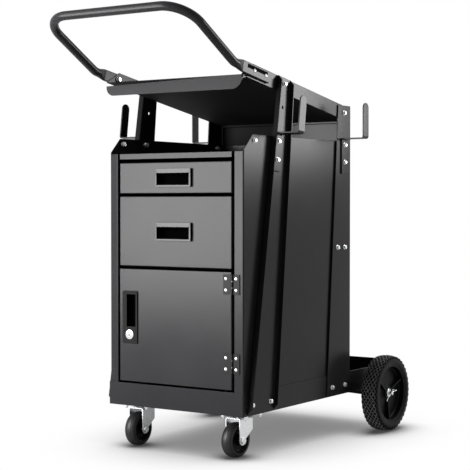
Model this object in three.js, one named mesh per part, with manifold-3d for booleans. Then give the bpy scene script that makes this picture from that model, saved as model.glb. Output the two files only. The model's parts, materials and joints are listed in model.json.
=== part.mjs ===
// A welding cart: a sheet steel cabinet with two drawers and a door on a wheeled pan,
// a sloping tray for the welder above it and a platform for a gas bottle behind it.
// Millimetres, +Z up. While the pieces are laid out, y 0 is the front face of the pan.
import * as THREE from 'three';
import { mergeVertices } from 'three/addons/utils/BufferGeometryUtils.js';
import Module from 'manifold-3d';

const wasm = await Module();
wasm.setup();

// Gauges and clearances
const SHEET = 1.5;
const POST_SHEET = 2.5;
const STRIP = 3;
const FIT = 0.3;
const RUN = 0.8;
const FOLD_RADIUS = 2.4;

// Facets round a full turn, and along one bend or corner
const WHEEL_FACETS = 24;
const ROUND_FACETS = 18;
const BORE_FACETS = 12;
const HEX_FACETS = 6;
const BEND_FACETS = 6;
const SWELL_FACETS = 4;
const FOLD_FACETS = 2;

// Rear wheels and axle
const REAR_WHEEL_DIAMETER = 180;
const REAR_WHEEL_WIDTH = 41;
const REAR_TREAD_DEPTH = 3;
const REAR_TREAD_LUGS = 40;
const REAR_RIM_DIAMETER = 134;
const REAR_RIM_WIDTH = 36;
const REAR_RIM_WALL = 4;
const REAR_HUB_DIAMETER = 32;
const REAR_HUB_INNER = 21;
const REAR_HUB_OUTER = 8;
const REAR_WEB = 5;
const REAR_RIB_THICKNESS = 6;
const REAR_RIB_COUNT = 3;
const REAR_RIB_TURN = THREE.MathUtils.degToRad(57);
const REAR_WHEEL_SPACING = 35;
const REAR_AXLE_BACK = 531;
const AXLE_DIAMETER = 10;
const AXLE_DROP = 0.6;
const AXLE_OVERHANG = 9;
const WASHER_DIAMETER = 20;
const WASHER_THICKNESS = 2;
const COTTER_WIRE = 3;
const COTTER_LENGTH = 30;
const COTTER_TURN = THREE.MathUtils.degToRad(-75);
const BRACKET_LENGTH = 132;
const BRACKET_FLANGE = 32;
const BRACKET_BOSS = 8;
const SPACER_WALL = 3;

// Base pan
const PAN_WIDTH = 360;
const PAN_LENGTH = 640;
const PAN_FLANGE = 50;
const PAN_REAR_LIP = 62;
const PAN_CORNER = 4;

// Cabinet shell
const CABINET_DEPTH = 449;
const PANEL_HEIGHT = 589.6;
const PANEL_CHAMFER = 36;
const PANEL_REAR_FOLD = 18;
const STILE_WIDTH = 23.5;
const STILE_RETURN = 10;
const SHELF_RAIL = 12;
const SHELF_FLANGE_STEP = 2;
const BACK_TOP_FOLD = 14;
const DIVIDER_FLANGE = 14;

// Drawers, stacked down from the shelf rail, with the door below them
const FRONT_GAP = 5.7;
const RAIL_GAP = 8;
const STACK_GAP = 6.5;
const UPPER_FRONT_HEIGHT = 67;
const LOWER_FRONT_HEIGHT = 153;
const DOOR_PAN_GAP = 4;
const FRONT_DEPTH = 13;
const DRAWER_BACK_GAP = 40;
const DRAWER_INSET = 6;
const DRAWER_TOP_DROP = 10;
const RUNNER_HEIGHT = 24;
const RUNNER_LAP = 8;

// Cup pulls
const PULL_LENGTH = 94;
const PULL_HEIGHT = 40;
const PULL_PROUD = 2.5;
const PULL_RIM = 6;
const PULL_DEPTH = 13;
const PULL_WALL = 1.8;
const PULL_HOOD = 8;
const PULL_HOOD_PROUD = 3;
const DOOR_PULL_WIDTH = 41;
const DOOR_PULL_SIDE_RIM = 3;
const DOOR_PULL_GRIP = 7;
const DOOR_PULL_HEIGHT = 116;
const DOOR_PULL_RECESS = 71;
const DOOR_PULL_EDGE = 8.7;
const DOOR_PULL_DROP = 48.4;

// Cam lock
const LOCK_DIAMETER = 18;
const LOCK_BEZEL = 22;
const LOCK_BEZEL_DEPTH = 2.4;
const LOCK_PLUG = 12;
const LOCK_RISE = 19.9;
const KEY_SLOT_WIDTH = 2;
const KEY_SLOT_HEIGHT = 8;
const KEY_SLOT_DEPTH = 4;
const CAM_LENGTH = 44;
const CAM_WIDTH = 14;
const CAM_THICKNESS = 2;

// Butt hinges
const HINGE_DOOR_LEAF = 23;
const HINGE_STILE_LEAF = 18;
const HINGE_HEIGHT = 42;
const HINGE_PIN = 2.4;
const HINGE_KNUCKLE = 4.8;
const HINGE_TOP_INSET = 4.8;
const HINGE_BOTTOM_INSET = 35;

// Top tray
const TRAY_SLOPE = THREE.MathUtils.degToRad(9.46);
const TRAY_FRONT = 5;
const TRAY_REAR_SETBACK = 7;
const TRAY_FRONT_RISE = 122.8;
const TRAY_FLANGE = 31.2;
const TRAY_LIP = 30.5;
const TRAY_LIP_CORNER = 22;
const TRAY_REAR_LIP = 20;
const TRAY_FLANGE_NOSE = 9;

// Front posts
const FRONT_POST_SETBACK = 12.8;
const FRONT_POST_BASE = 102.7;
const FRONT_POST_REAR_LEAN = 0.095;
const FRONT_POST_FLANGE = 10;
const POST_FOOT = 4;
const POST_HOLE = 7;
const POST_HOLE_DROP = 64;

// Rear posts
const REAR_POST_BASE = 107;
const REAR_POST_TOP = 57;
const REAR_POST_CROWN = 5;

// Cable hooks
const HOOK_WIDTH = 25;
const HOOK_STRAP = 83;
const HOOK_ARM = 59.5;
const HOOK_UPRIGHT = 79.5;
const HOOK_BEND = 6;
const HOOK_RISE = 7;
const FRONT_HOOK_SHIFT = 12.5;
const REAR_HOOK_INSET = 33;

// Bottle rest
const REST_RISE = 294;
const REST_TAB = 66;
const REST_TAB_HEIGHT = 30;
const REST_REACH = 40;
const REST_WIDTH = 236;
const REST_SETBACK = 10;
const BOTTLE_DIAMETER = 172;

// Push handle
const HANDLE_DIAMETER = 19;
const HANDLE_FLAT = 6;
const HANDLE_TAB = 95;
const HANDLE_TAB_LEAD = 5;
const HANDLE_SWELL = 26;
const HANDLE_RUN = 170;
const HANDLE_RISE = 98;
const HANDLE_CORNER = 62;
const HANDLE_KNEE = 45;
const HANDLE_GROOVE = 7;
const HANDLE_GROOVE_DEPTH = 1.6;

// Casters
const CASTER_INSET = 48;
const CASTER_BACK = 66;
const CASTER_TRAIL = 21;
const CASTER_SWIVEL_RIGHT = THREE.MathUtils.degToRad(-5);
const CASTER_SWIVEL_LEFT = THREE.MathUtils.degToRad(0.5);
const CASTER_PLATE = 64;
const CASTER_PLATE_THICKNESS = 2.5;
const CASTER_HEAD_DIAMETER = 46;
const CASTER_HEAD_DEPTH = 7;
const CASTER_CLEARANCE = 7;
const FORK_SHEET = 2.5;
const FORK_INSIDE = 35;
const FORK_TOP = 44;
const FORK_BOSS = 20;
const FORK_SHOULDER = 24;
const CASTER_TYRE_WIDTH = 27;
const CASTER_RIM_DIAMETER = 50;
const CASTER_HUB_DIAMETER = 22;
const CASTER_AXLE = 9;
const CASTER_NUT = 15;
const CASTER_NUT_HEIGHT = 3.5;
const KINGPIN = 10;
const KINGPIN_HEAD = 18;

// Heights and places that follow from the sizes above
const panBottom = REAR_WHEEL_DIAMETER / 2 + AXLE_DIAMETER / 2 + AXLE_DROP;
const panFloor = panBottom + SHEET;
const panTop = panBottom + PAN_FLANGE;
const axleHeight = REAR_WHEEL_DIAMETER / 2;
const postInner = PAN_WIDTH / 2 + FIT;
const postOuter = postInner + POST_SHEET;
const panelOuter = PAN_WIDTH / 2 - SHEET - FIT;
const panelInner = panelOuter - SHEET;
const cabinetFront = SHEET + FIT;
const cabinetRear = cabinetFront + CABINET_DEPTH;
const panelBottom = panFloor + FIT;
const panelTop = panelBottom + PANEL_HEIGHT;
const stileInner = panelOuter - STILE_WIDTH;
const frontHalf = stileInner - FRONT_GAP;
const backRear = cabinetRear - SHEET - FIT;
const backFront = backRear - SHEET;
const shelfTop = panelTop - PANEL_CHAMFER;
const railBottom = shelfTop - SHELF_RAIL;
const upperFrontTop = railBottom - RAIL_GAP;
const upperFrontBottom = upperFrontTop - UPPER_FRONT_HEIGHT;
const lowerFrontTop = upperFrontBottom - STACK_GAP;
const lowerFrontBottom = lowerFrontTop - LOWER_FRONT_HEIGHT;
const dividerTop = lowerFrontBottom - STACK_GAP / 2 + SHEET / 2;
const doorTop = lowerFrontBottom - STACK_GAP;
const doorBottom = panTop + DOOR_PAN_GAP;
const innerFront = cabinetFront + Math.max(STILE_RETURN, FRONT_DEPTH) + RUN;
const postFoot = panBottom + POST_FOOT;
const trayFrontHeight = panelTop + TRAY_FRONT_RISE;
const trayTangent = Math.tan(TRAY_SLOPE);
const trayLength = (cabinetRear - TRAY_REAR_SETBACK + TRAY_FRONT) / Math.cos(TRAY_SLOPE);

const POWDER_BLACK = { color: 0x1d1e20, roughness: 0.48, metalness: 0.25 };
const DRAWER_BLACK = { color: 0x222325, roughness: 0.45, metalness: 0.25 };
const MOULDED_BLACK = { color: 0x141415, roughness: 0.5, metalness: 0 };
const TYRE_BLACK = { color: 0x262627, roughness: 0.85, metalness: 0 };
const ZINC = { color: 0xc9ccce, roughness: 0.32, metalness: 0.9 };
const CHROME = { color: 0xd8dadc, roughness: 0.18, metalness: 1 };

const cart = new THREE.Group();
cart.name = 'welding_cart';

/** Turns a closed geometry into a solid for cutting and joining, with its faces outwards. */
function solidOf(geometry) {
  const bare = new THREE.BufferGeometry();
  bare.setAttribute('position', geometry.attributes.position.clone());
  if (geometry.index) {
    bare.setIndex(geometry.index.clone());
  }
  const merged = mergeVertices(bare, 1e-4);
  const triVerts = Uint32Array.from(merged.index.array);
  const vertProperties = Float32Array.from(merged.attributes.position.array);
  if (signedVolume(vertProperties, triVerts) < 0) {
    flip(triVerts);
  }
  return new wasm.Manifold(new wasm.Mesh({ numProp: 3, vertProperties, triVerts }));
}

/** Six times the volume that a triangle mesh encloses, negative when it is inside out. */
function signedVolume(places, triangles) {
  let volume = 0;
  const corner = [new THREE.Vector3(), new THREE.Vector3(), new THREE.Vector3()];
  for (let t = 0; t < triangles.length; t += 3) {
    corner.forEach((point, k) => point.fromArray(places, 3 * triangles[t + k]));
    volume += corner[0].dot(corner[1].cross(corner[2]));
  }
  return volume;
}

/** Turns every triangle round. */
function flip(triangles) {
  for (let t = 0; t < triangles.length; t += 3) {
    const first = triangles[t];
    triangles[t] = triangles[t + 1];
    triangles[t + 1] = first;
  }
}

/** Turns a solid back into a geometry. */
function geometryOf(solid) {
  const mesh = solid.getMesh();
  const geometry = new THREE.BufferGeometry();
  geometry.setAttribute('position', new THREE.Float32BufferAttribute(mesh.vertProperties, 3));
  geometry.setIndex(Array.from(mesh.triVerts));
  return geometry;
}

/** Joins geometries into one. */
function join(...pieces) {
  return geometryOf(pieces.map(solidOf).reduce((whole, piece) => whole.add(piece)));
}

/** Cuts the tools out of a geometry. */
function cut(base, ...tools) {
  return geometryOf(tools.map(solidOf).reduce((left, tool) => left.subtract(tool), solidOf(base)));
}

/** What two geometries have in common. */
function common(one, other) {
  return geometryOf(solidOf(one).intersect(solidOf(other)));
}

/** Mirrors a geometry across the middle plane of the cart. */
function mirrored(geometry) {
  return geometryOf(solidOf(geometry.clone().scale(-1, 1, 1)));
}

/** Adds a named piece to the cart or to a group in it. */
function addPiece(name, geometry, finish, parent = cart) {
  const whole = geometryOf(solidOf(geometry));
  const mesh = new THREE.Mesh(whole.toNonIndexed(), new THREE.MeshStandardMaterial(finish));
  mesh.geometry.computeVertexNormals();
  mesh.name = name;
  parent.add(mesh);
}

/** Adds a right piece and its mirror image on the left. */
function addPair(name, geometry, finish) {
  addPiece(`${name}_right`, geometry, finish);
  addPiece(`${name}_left`, mirrored(geometry), finish);
}

/** A closed outline through corners [u, v, radius], where a radius rounds its corner. */
function outline(corners) {
  const shape = new THREE.Shape();
  corners.forEach(([u, v, radius = 0], i) => {
    const here = new THREE.Vector2(u, v);
    const before = new THREE.Vector2(...corners.at(i - 1).slice(0, 2)).sub(here).normalize();
    const after = new THREE.Vector2(...corners[(i + 1) % corners.length].slice(0, 2)).sub(here).normalize();
    if (radius <= 0) {
      i === 0 ? shape.moveTo(u, v) : shape.lineTo(u, v);
      return;
    }
    const half = Math.acos(before.dot(after)) / 2;
    const reach = radius / Math.tan(half);
    const middle = before.clone().add(after).normalize().multiplyScalar(radius / Math.sin(half)).add(here);
    const start = before.multiplyScalar(reach).add(here);
    const end = after.multiplyScalar(reach).add(here);
    const clockwise = start.clone().sub(here).cross(end.clone().sub(here)) > 0;
    if (i === 0) {
      shape.moveTo(start.x, start.y);
    }
    const from = start.sub(middle).angle();
    const to = end.sub(middle).angle();
    shape.absarc(middle.x, middle.y, radius, from, to, clockwise);
  });
  return shape;
}

/** A rectangle between two corners, with all its corners rounded alike. */
function rectangle(u0, v0, u1, v1, radius = 0) {
  return outline([[u0, v0, radius], [u1, v0, radius], [u1, v1, radius], [u0, v1, radius]]);
}

/** A round outline. */
function disc(u, v, radius) {
  const shape = new THREE.Shape();
  shape.absarc(u, v, radius, 0, 2 * Math.PI, false);
  return shape;
}

/** Extrudes an outline by a depth, in curves of a given number of segments. */
function extruded(shape, depth, curveSegments) {
  return new THREE.ExtrudeGeometry(shape, { depth, bevelEnabled: false, curveSegments });
}

/** A plate whose outline lies in x and y, from a height upwards. */
function plateXY(shape, z, thickness, segments = FOLD_FACETS) {
  return extruded(shape, thickness, segments).translate(0, 0, z);
}

/** A plate whose outline lies in x and z, from a place backwards. */
function plateXZ(shape, y, thickness, segments = FOLD_FACETS) {
  return extruded(shape, thickness, segments).rotateX(Math.PI / 2).translate(0, y + thickness, 0);
}

/** A plate whose outline lies in y and z, from a place to the right. */
function plateYZ(shape, x, thickness, segments = FOLD_FACETS) {
  const turn = new THREE.Matrix4().makeBasis(
    new THREE.Vector3(0, 1, 0),
    new THREE.Vector3(0, 0, 1),
    new THREE.Vector3(1, 0, 0),
  );
  return extruded(shape, thickness, segments).applyMatrix4(turn).translate(x, 0, 0);
}

/** A box between two corners. */
function block(x0, y0, z0, x1, y1, z1) {
  const geometry = new THREE.BoxGeometry(x1 - x0, y1 - y0, z1 - z0);
  return geometry.translate((x0 + x1) / 2, (y0 + y1) / 2, (z0 + z1) / 2);
}

/** A solid of revolution about an upright axis, from a profile of [radius, height]. */
function turned(profile, segments) {
  const points = profile.map(([radius, height]) => new THREE.Vector2(radius, height));
  return new THREE.LatheGeometry(points, segments).rotateX(Math.PI / 2);
}

/** A solid of revolution about the x axis, from a profile of [radius, x]. */
function turnedX(profile, segments) {
  return turned(profile, segments).rotateY(Math.PI / 2);
}

/** A solid of revolution about the y axis, from a profile of [radius, y]. */
function turnedY(profile, segments) {
  return turned(profile, segments).rotateX(-Math.PI / 2);
}

/** A closed ring profile between two radii and two places along the axis. */
function ringProfile(inner, outer, low, high) {
  return [[inner, low], [outer, low], [outer, high], [inner, high], [inner, low]];
}

/** A plain round profile from the axis out, between two places along it. */
function rodProfile(radius, low, high) {
  return [[0, low], [radius, low], [radius, high], [0, high]];
}

/** Skins rings of points in order and closes both ends. */
function lofted(rings) {
  const sides = rings[0].length;
  const places = rings.flat().flatMap((point) => point.toArray());
  const triangles = [];
  for (let r = 0; r + 1 < rings.length; r += 1) {
    for (let s = 0; s < sides; s += 1) {
      const a = r * sides + s;
      const b = r * sides + ((s + 1) % sides);
      triangles.push(a, b, b + sides, a, b + sides, a + sides);
    }
  }
  const last = (rings.length - 1) * sides;
  for (let s = 1; s + 1 < sides; s += 1) {
    triangles.push(0, s + 1, s, last, last + s, last + s + 1);
  }
  const geometry = new THREE.BufferGeometry();
  geometry.setAttribute('position', new THREE.Float32BufferAttribute(places, 3));
  geometry.setIndex(triangles);
  return geometry;
}

/** The height of the tray floor's upper face at a place along the cart. */
function trayFloor(y) {
  return trayFrontHeight - (y + TRAY_FRONT) * trayTangent;
}

/** A place beside the tray: a distance back along its floor and a height square to it. */
function trayPlace(along, above) {
  const cos = Math.cos(TRAY_SLOPE);
  const sin = Math.sin(TRAY_SLOPE);
  return [-TRAY_FRONT + along * cos + above * sin, trayFrontHeight - along * sin + above * cos];
}

/** The base pan: the cabinet's floor, the bottle platform, flanges all round and a taller rear lip. */
function buildPan() {
  const half = PAN_WIDTH / 2;
  const outer = plateXY(rectangle(-half, 0, half, PAN_LENGTH, PAN_CORNER), panBottom, PAN_FLANGE);
  const inside = rectangle(
    -half + SHEET,
    SHEET,
    half - SHEET,
    PAN_LENGTH - SHEET,
    PAN_CORNER - SHEET,
  );
  const hollow = plateXY(inside, panFloor, PAN_FLANGE);
  const floorHalf = panelInner - FIT;
  const cabinetFloor = block(-floorHalf, innerFront, panBottom, floorHalf, backFront - FIT, panFloor);
  const platformRear = PAN_LENGTH - SHEET - PAN_CORNER;
  const platform = block(-floorHalf, cabinetRear + RUN, panBottom, floorHalf, platformRear, panFloor);
  const tub = cut(outer, hollow, cabinetFloor, platform);
  const lipHalf = half - PAN_CORNER;
  const lipTop = panBottom + PAN_REAR_LIP;
  const lipOutline = outline([
    [-lipHalf, panBottom],
    [lipHalf, panBottom],
    [lipHalf, lipTop, FOLD_RADIUS],
    [-lipHalf, lipTop, FOLD_RADIUS],
  ]);
  const lip = plateXZ(lipOutline, PAN_LENGTH - SHEET, SHEET);
  addPiece('base_pan', join(tub, cabinetFloor, platform, lip), POWDER_BLACK);
}

/** The side panels, each one sheet with its stile folded in at the front and a fold at the rear. */
function buildSidePanels() {
  const chamferStart = panelTop - PANEL_CHAMFER;
  const overlap = cabinetFront + FOLD_RADIUS + SHEET;
  const sheet = plateYZ(
    outline([
      [overlap, panelBottom],
      [cabinetRear, panelBottom],
      [cabinetRear, panelTop],
      [cabinetFront + PANEL_CHAMFER, panelTop],
      [overlap, chamferStart + overlap - cabinetFront],
    ]),
    panelInner,
    SHEET,
  );
  const innerRadius = FOLD_RADIUS - SHEET;
  const stile = plateXY(
    outline([
      [stileInner + SHEET, cabinetFront + STILE_RETURN],
      [stileInner, cabinetFront + STILE_RETURN],
      [stileInner, cabinetFront, FOLD_RADIUS],
      [panelOuter, cabinetFront, FOLD_RADIUS],
      [panelOuter, overlap + SHEET],
      [panelInner, overlap + SHEET],
      [panelInner, cabinetFront + SHEET, innerRadius],
      [stileInner + SHEET, cabinetFront + SHEET, innerRadius],
    ]),
    panelBottom,
    chamferStart - panelBottom,
  );
  const rearFold = block(
    panelOuter - PANEL_REAR_FOLD,
    cabinetRear - SHEET,
    panelBottom,
    panelOuter,
    cabinetRear,
    panelTop,
  );
  addPair('side_panel', join(sheet, stile, rearFold), POWDER_BLACK);
}

/** The cabinet top: an open shelf with a rail folded down in front and upstands on three sides. */
function buildShelf() {
  const half = panelInner - FIT;
  const rear = backFront - FIT;
  const floorBottom = shelfTop - SHEET;
  const upstandTop = panelTop - SHELF_FLANGE_STEP;
  const floor = plateXY(
    outline([
      [-frontHalf, cabinetFront],
      [frontHalf, cabinetFront],
      [frontHalf, innerFront],
      [half, innerFront],
      [half, rear],
      [-half, rear],
      [-half, innerFront],
      [-frontHalf, innerFront],
    ]),
    floorBottom,
    SHEET,
  );
  const rail = block(-frontHalf, cabinetFront, railBottom, frontHalf, cabinetFront + SHEET, shelfTop);
  const rise = upstandTop - shelfTop;
  const side = plateYZ(
    outline([
      [innerFront, floorBottom],
      [rear, floorBottom],
      [rear, upstandTop],
      [innerFront + rise, upstandTop],
      [innerFront, shelfTop],
    ]),
    half - SHEET,
    SHEET,
  );
  const upstand = block(-half, rear - SHEET, floorBottom, half, rear, upstandTop);
  addPiece('storage_shelf', join(floor, rail, side, mirrored(side), upstand), POWDER_BLACK);
}

/** The back panel, which reaches up to the tray, and the divider over the door. */
function buildInnerSheets() {
  const half = panelInner - FIT;
  const backTop = trayFloor(backRear) - SHEET / Math.cos(TRAY_SLOPE) - FIT;
  const back = plateYZ(
    outline([
      [backRear, panelBottom],
      [backRear, backTop],
      [backRear - BACK_TOP_FOLD, backTop],
      [backRear - BACK_TOP_FOLD, backTop - SHEET],
      [backFront, backTop - SHEET],
      [backFront, panelBottom],
    ]),
    -half,
    2 * half,
  );
  addPiece('back_panel', back, POWDER_BLACK);

  const flangeBottom = dividerTop - DIVIDER_FLANGE;
  const divider = plateXZ(
    outline([
      [-half, dividerTop],
      [-half, flangeBottom],
      [-half + SHEET, flangeBottom],
      [-half + SHEET, dividerTop - SHEET],
      [half - SHEET, dividerTop - SHEET],
      [half - SHEET, flangeBottom],
      [half, flangeBottom],
      [half, dividerTop],
    ]),
    innerFront,
    backFront - FIT - innerFront,
  );
  addPiece('cabinet_divider', divider, POWDER_BLACK);
}

/** One drawer with its runners and its pull. */
function buildDrawer(name, bottom, height) {
  const top = bottom + height;
  const bodyHalf = frontHalf - DRAWER_INSET;
  const bodyBottom = bottom + DRAWER_INSET;
  const bodyRear = backFront - DRAWER_BACK_GAP;
  const face = cut(
    block(-frontHalf, cabinetFront, bottom, frontHalf, cabinetFront + FRONT_DEPTH, top),
    block(
      -frontHalf + SHEET,
      cabinetFront + SHEET,
      bottom + SHEET,
      frontHalf - SHEET,
      cabinetFront + 2 * FRONT_DEPTH,
      top - SHEET,
    ),
  );
  const body = cut(
    block(-bodyHalf, cabinetFront, bodyBottom, bodyHalf, bodyRear, top - DRAWER_TOP_DROP),
    block(
      -bodyHalf + SHEET,
      cabinetFront + SHEET,
      bodyBottom + SHEET,
      bodyHalf - SHEET,
      bodyRear - SHEET,
      top,
    ),
  );
  const middle = bottom + height / 2;
  const window = cupHole(PULL_LENGTH, PULL_HEIGHT, PULL_RIM).translate(0, 0, middle);
  addPiece(`${name}_drawer_box`, cut(join(face, body), window), DRAWER_BLACK);
  addPiece(`${name}_drawer_pull`, drawerPull().translate(0, 0, middle), MOULDED_BLACK);

  const ledgeTop = bodyBottom - FIT;
  const outer = panelInner - FIT;
  const runner = plateXZ(
    outline([
      [bodyHalf - RUNNER_LAP, ledgeTop - SHEET],
      [outer, ledgeTop - SHEET],
      [outer, ledgeTop + RUNNER_HEIGHT],
      [outer - SHEET, ledgeTop + RUNNER_HEIGHT],
      [outer - SHEET, ledgeTop],
      [bodyHalf - RUNNER_LAP, ledgeTop],
    ]),
    innerFront,
    backFront - FIT - innerFront,
  );
  addPair(`${name}_runner`, runner, ZINC);
}

/** The window that a cup pull's cup passes through, round the pull's middle. */
function cupHole(length, height, sideRim) {
  const u = length / 2 - sideRim + FIT;
  const v = height / 2 - PULL_RIM + FIT;
  return plateXZ(rectangle(-u, -v, u, v), cabinetFront - SHEET, 3 * SHEET);
}

/** A rim in front of a sheet and a cup through it, both closed, round the pull's middle. */
function pullBlank(length, height, sideRim) {
  const rimFront = cabinetFront - FIT - PULL_PROUD;
  const cup = rectangle(
    -length / 2 + sideRim,
    -height / 2 + PULL_RIM,
    length / 2 - sideRim,
    height / 2 - PULL_RIM,
  );
  const rim = rectangle(-length / 2, -height / 2, length / 2, height / 2, FOLD_RADIUS);
  return join(plateXZ(rim, rimFront, PULL_PROUD), plateXZ(cup, rimFront, PULL_PROUD + PULL_DEPTH));
}

/** A drawer's cup pull: a rim, a hood over the finger hold and a cup behind the front. */
function drawerPull() {
  const rimFront = cabinetFront - FIT - PULL_PROUD;
  const u = PULL_LENGTH / 2 - PULL_RIM - PULL_WALL;
  const v = PULL_HEIGHT / 2 - PULL_RIM - PULL_WALL;
  const hoodFoot = v + PULL_WALL - PULL_HOOD / 2;
  const mouth = plateXZ(
    rectangle(-u, -v, u, hoodFoot),
    rimFront - PULL_HOOD_PROUD,
    PULL_HOOD_PROUD + PULL_PROUD + PULL_DEPTH - PULL_WALL,
  );
  const hollow = plateXZ(
    rectangle(-u, -v, u, v),
    cabinetFront + SHEET,
    PULL_DEPTH - PULL_WALL - SHEET - FIT,
  );
  const hood = plateYZ(
    outline([
      [rimFront + PULL_PROUD / 2, hoodFoot],
      [rimFront + PULL_PROUD / 2, hoodFoot + PULL_HOOD],
      [rimFront, hoodFoot + PULL_HOOD],
      [rimFront - PULL_HOOD_PROUD, hoodFoot + PULL_HOOD / 4],
      [rimFront - PULL_HOOD_PROUD, hoodFoot],
    ]),
    -PULL_LENGTH / 2 + PULL_RIM / 2,
    PULL_LENGTH - PULL_RIM,
  );
  return cut(join(pullBlank(PULL_LENGTH, PULL_HEIGHT, PULL_RIM), hood), mouth, hollow);
}

const doorPullX = -frontHalf + DOOR_PULL_EDGE + DOOR_PULL_WIDTH / 2;
const doorPullZ = doorTop - DOOR_PULL_DROP - DOOR_PULL_HEIGHT / 2;
const lockZ = doorPullZ - DOOR_PULL_HEIGHT / 2 + LOCK_RISE;
const doorDepth = cabinetFront + FRONT_DEPTH;
const camFront = doorDepth + RUN;
const lockFront = cabinetFront - FIT - PULL_PROUD - FIT;

/** The door, a folded sheet with its cup pull and cam lock. */
function buildDoor() {
  const shell = cut(
    block(-frontHalf, cabinetFront, doorBottom, frontHalf, doorDepth, doorTop),
    block(
      -frontHalf + SHEET,
      cabinetFront + SHEET,
      doorBottom + SHEET,
      frontHalf - SHEET,
      doorDepth + SHEET,
      doorTop - SHEET,
    ),
  );
  const cupped = [DOOR_PULL_WIDTH, DOOR_PULL_HEIGHT, DOOR_PULL_SIDE_RIM];
  const window = cupHole(...cupped).translate(doorPullX, 0, doorPullZ);
  addPiece('door_panel', cut(shell, window), DRAWER_BLACK);

  const rimFront = cabinetFront - FIT - PULL_PROUD;
  const u = DOOR_PULL_WIDTH / 2 - DOOR_PULL_SIDE_RIM - PULL_WALL;
  const top = DOOR_PULL_HEIGHT / 2 - PULL_RIM - PULL_WALL;
  const mouth = plateXZ(
    rectangle(-u + DOOR_PULL_GRIP, top - DOOR_PULL_RECESS, u, top),
    rimFront - PULL_PROUD,
    2 * PULL_PROUD + PULL_DEPTH - PULL_WALL,
  );
  const hollow = plateXZ(
    rectangle(-u, top - DOOR_PULL_RECESS, u, top),
    cabinetFront + SHEET,
    PULL_DEPTH - PULL_WALL - SHEET - FIT,
  );
  const lockBore = plateXZ(
    disc(0, lockZ - doorPullZ, LOCK_DIAMETER / 2 + FIT),
    rimFront - PULL_PROUD,
    3 * PULL_PROUD + PULL_DEPTH,
    BORE_FACETS,
  );
  const pull = cut(pullBlank(...cupped), mouth, hollow, lockBore);
  addPiece('door_pull', pull.translate(doorPullX, 0, doorPullZ), MOULDED_BLACK);
}

/** The cam lock: a barrel in the pull, a plug that turns in it and a cam on the plug's end. */
function buildLock() {
  const bore = LOCK_PLUG / 2 + FIT;
  const bezelFront = lockFront - LOCK_BEZEL_DEPTH;
  const barrelRear = camFront - FIT;
  const body = turnedY(
    [
      [bore, bezelFront],
      [LOCK_BEZEL / 2 - FOLD_RADIUS / 2, bezelFront],
      [LOCK_BEZEL / 2, bezelFront + FOLD_RADIUS / 2],
      [LOCK_BEZEL / 2, lockFront],
      [LOCK_DIAMETER / 2, lockFront],
      [LOCK_DIAMETER / 2, barrelRear],
      [bore, barrelRear],
      [bore, bezelFront],
    ],
    ROUND_FACETS,
  );
  addPiece('lock_body', body.translate(doorPullX, 0, lockZ), CHROME);

  const camRear = camFront + CAM_THICKNESS;
  const shank = LOCK_PLUG / 4;
  const plug = cut(
    join(
      turnedY(rodProfile(LOCK_PLUG / 2, bezelFront + FIT, barrelRear), ROUND_FACETS),
      turnedY(rodProfile(shank, barrelRear - FIT, camRear + CAM_THICKNESS), BORE_FACETS),
    ),
    block(
      -KEY_SLOT_WIDTH / 2,
      bezelFront,
      -KEY_SLOT_HEIGHT / 2,
      KEY_SLOT_WIDTH / 2,
      bezelFront + FIT + KEY_SLOT_DEPTH,
      KEY_SLOT_HEIGHT / 2,
    ),
  );
  addPiece('lock_plug', plug.translate(doorPullX, 0, lockZ), CHROME);

  const half = CAM_WIDTH / 2;
  const arm = outline([
    [-half, -half, half - FIT],
    [half, -half, half - FIT],
    [half, CAM_LENGTH, FOLD_RADIUS],
    [-half, CAM_LENGTH, FOLD_RADIUS],
  ]);
  arm.holes.push(disc(0, 0, shank + FIT));
  const cam = plateXZ(arm, camFront, CAM_THICKNESS, BEND_FACETS);
  addPiece('lock_cam', cam.translate(doorPullX, 0, lockZ), ZINC);
}

const hingeX = (frontHalf + stileInner) / 2;
const leafFront = cabinetFront - FIT - SHEET;
const hingeY = cabinetFront - FIT - HINGE_KNUCKLE / 2;

/** One butt hinge: a leaf on the stile, a leaf on the door and the pin through their knuckles. */
function buildHinge(name, bottom) {
  const top = bottom + HINGE_HEIGHT;
  const third = HINGE_HEIGHT / 3;
  const hole = HINGE_PIN / 2 + FIT;
  const onPin = (profile) => turned(profile, BORE_FACETS).translate(hingeX, hingeY, 0);
  const knuckle = (low, high) => onPin(ringProfile(hole, HINGE_KNUCKLE / 2, low, high));
  const bore = onPin(rodProfile(hole, bottom - third, top + third));
  const leaf = (side, reach) => {
    const near = hingeX + side * RUN;
    const far = hingeX + side * reach;
    return plateXZ(
      rectangle(Math.min(near, far), bottom, Math.max(near, far), top),
      leafFront,
      SHEET,
    );
  };
  const room = HINGE_KNUCKLE / 2 + RUN / 2;
  const clear = (low, high) =>
    block(hingeX - room, hingeY - room, low - RUN / 2, hingeX + room, cabinetFront, high + RUN / 2);
  const middleLow = bottom + third;
  const middleHigh = top - third;
  const stileLeaf = join(
    cut(leaf(1, HINGE_STILE_LEAF), clear(middleLow, middleHigh), bore),
    knuckle(bottom, middleLow - RUN / 2),
    knuckle(middleHigh + RUN / 2, top),
  );
  const doorLeaf = join(
    cut(
      leaf(-1, HINGE_DOOR_LEAF),
      clear(bottom - third, middleLow - RUN / 2),
      clear(middleHigh + RUN / 2, top + third),
      bore,
    ),
    knuckle(middleLow + RUN / 2, middleHigh - RUN / 2),
  );
  addPiece(`${name}_hinge_stile_leaf`, stileLeaf, POWDER_BLACK);
  addPiece(`${name}_hinge_door_leaf`, doorLeaf, POWDER_BLACK);
  addPiece(`${name}_hinge_pin`, onPin(rodProfile(HINGE_PIN / 2, bottom, top)), ZINC);
}

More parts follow.
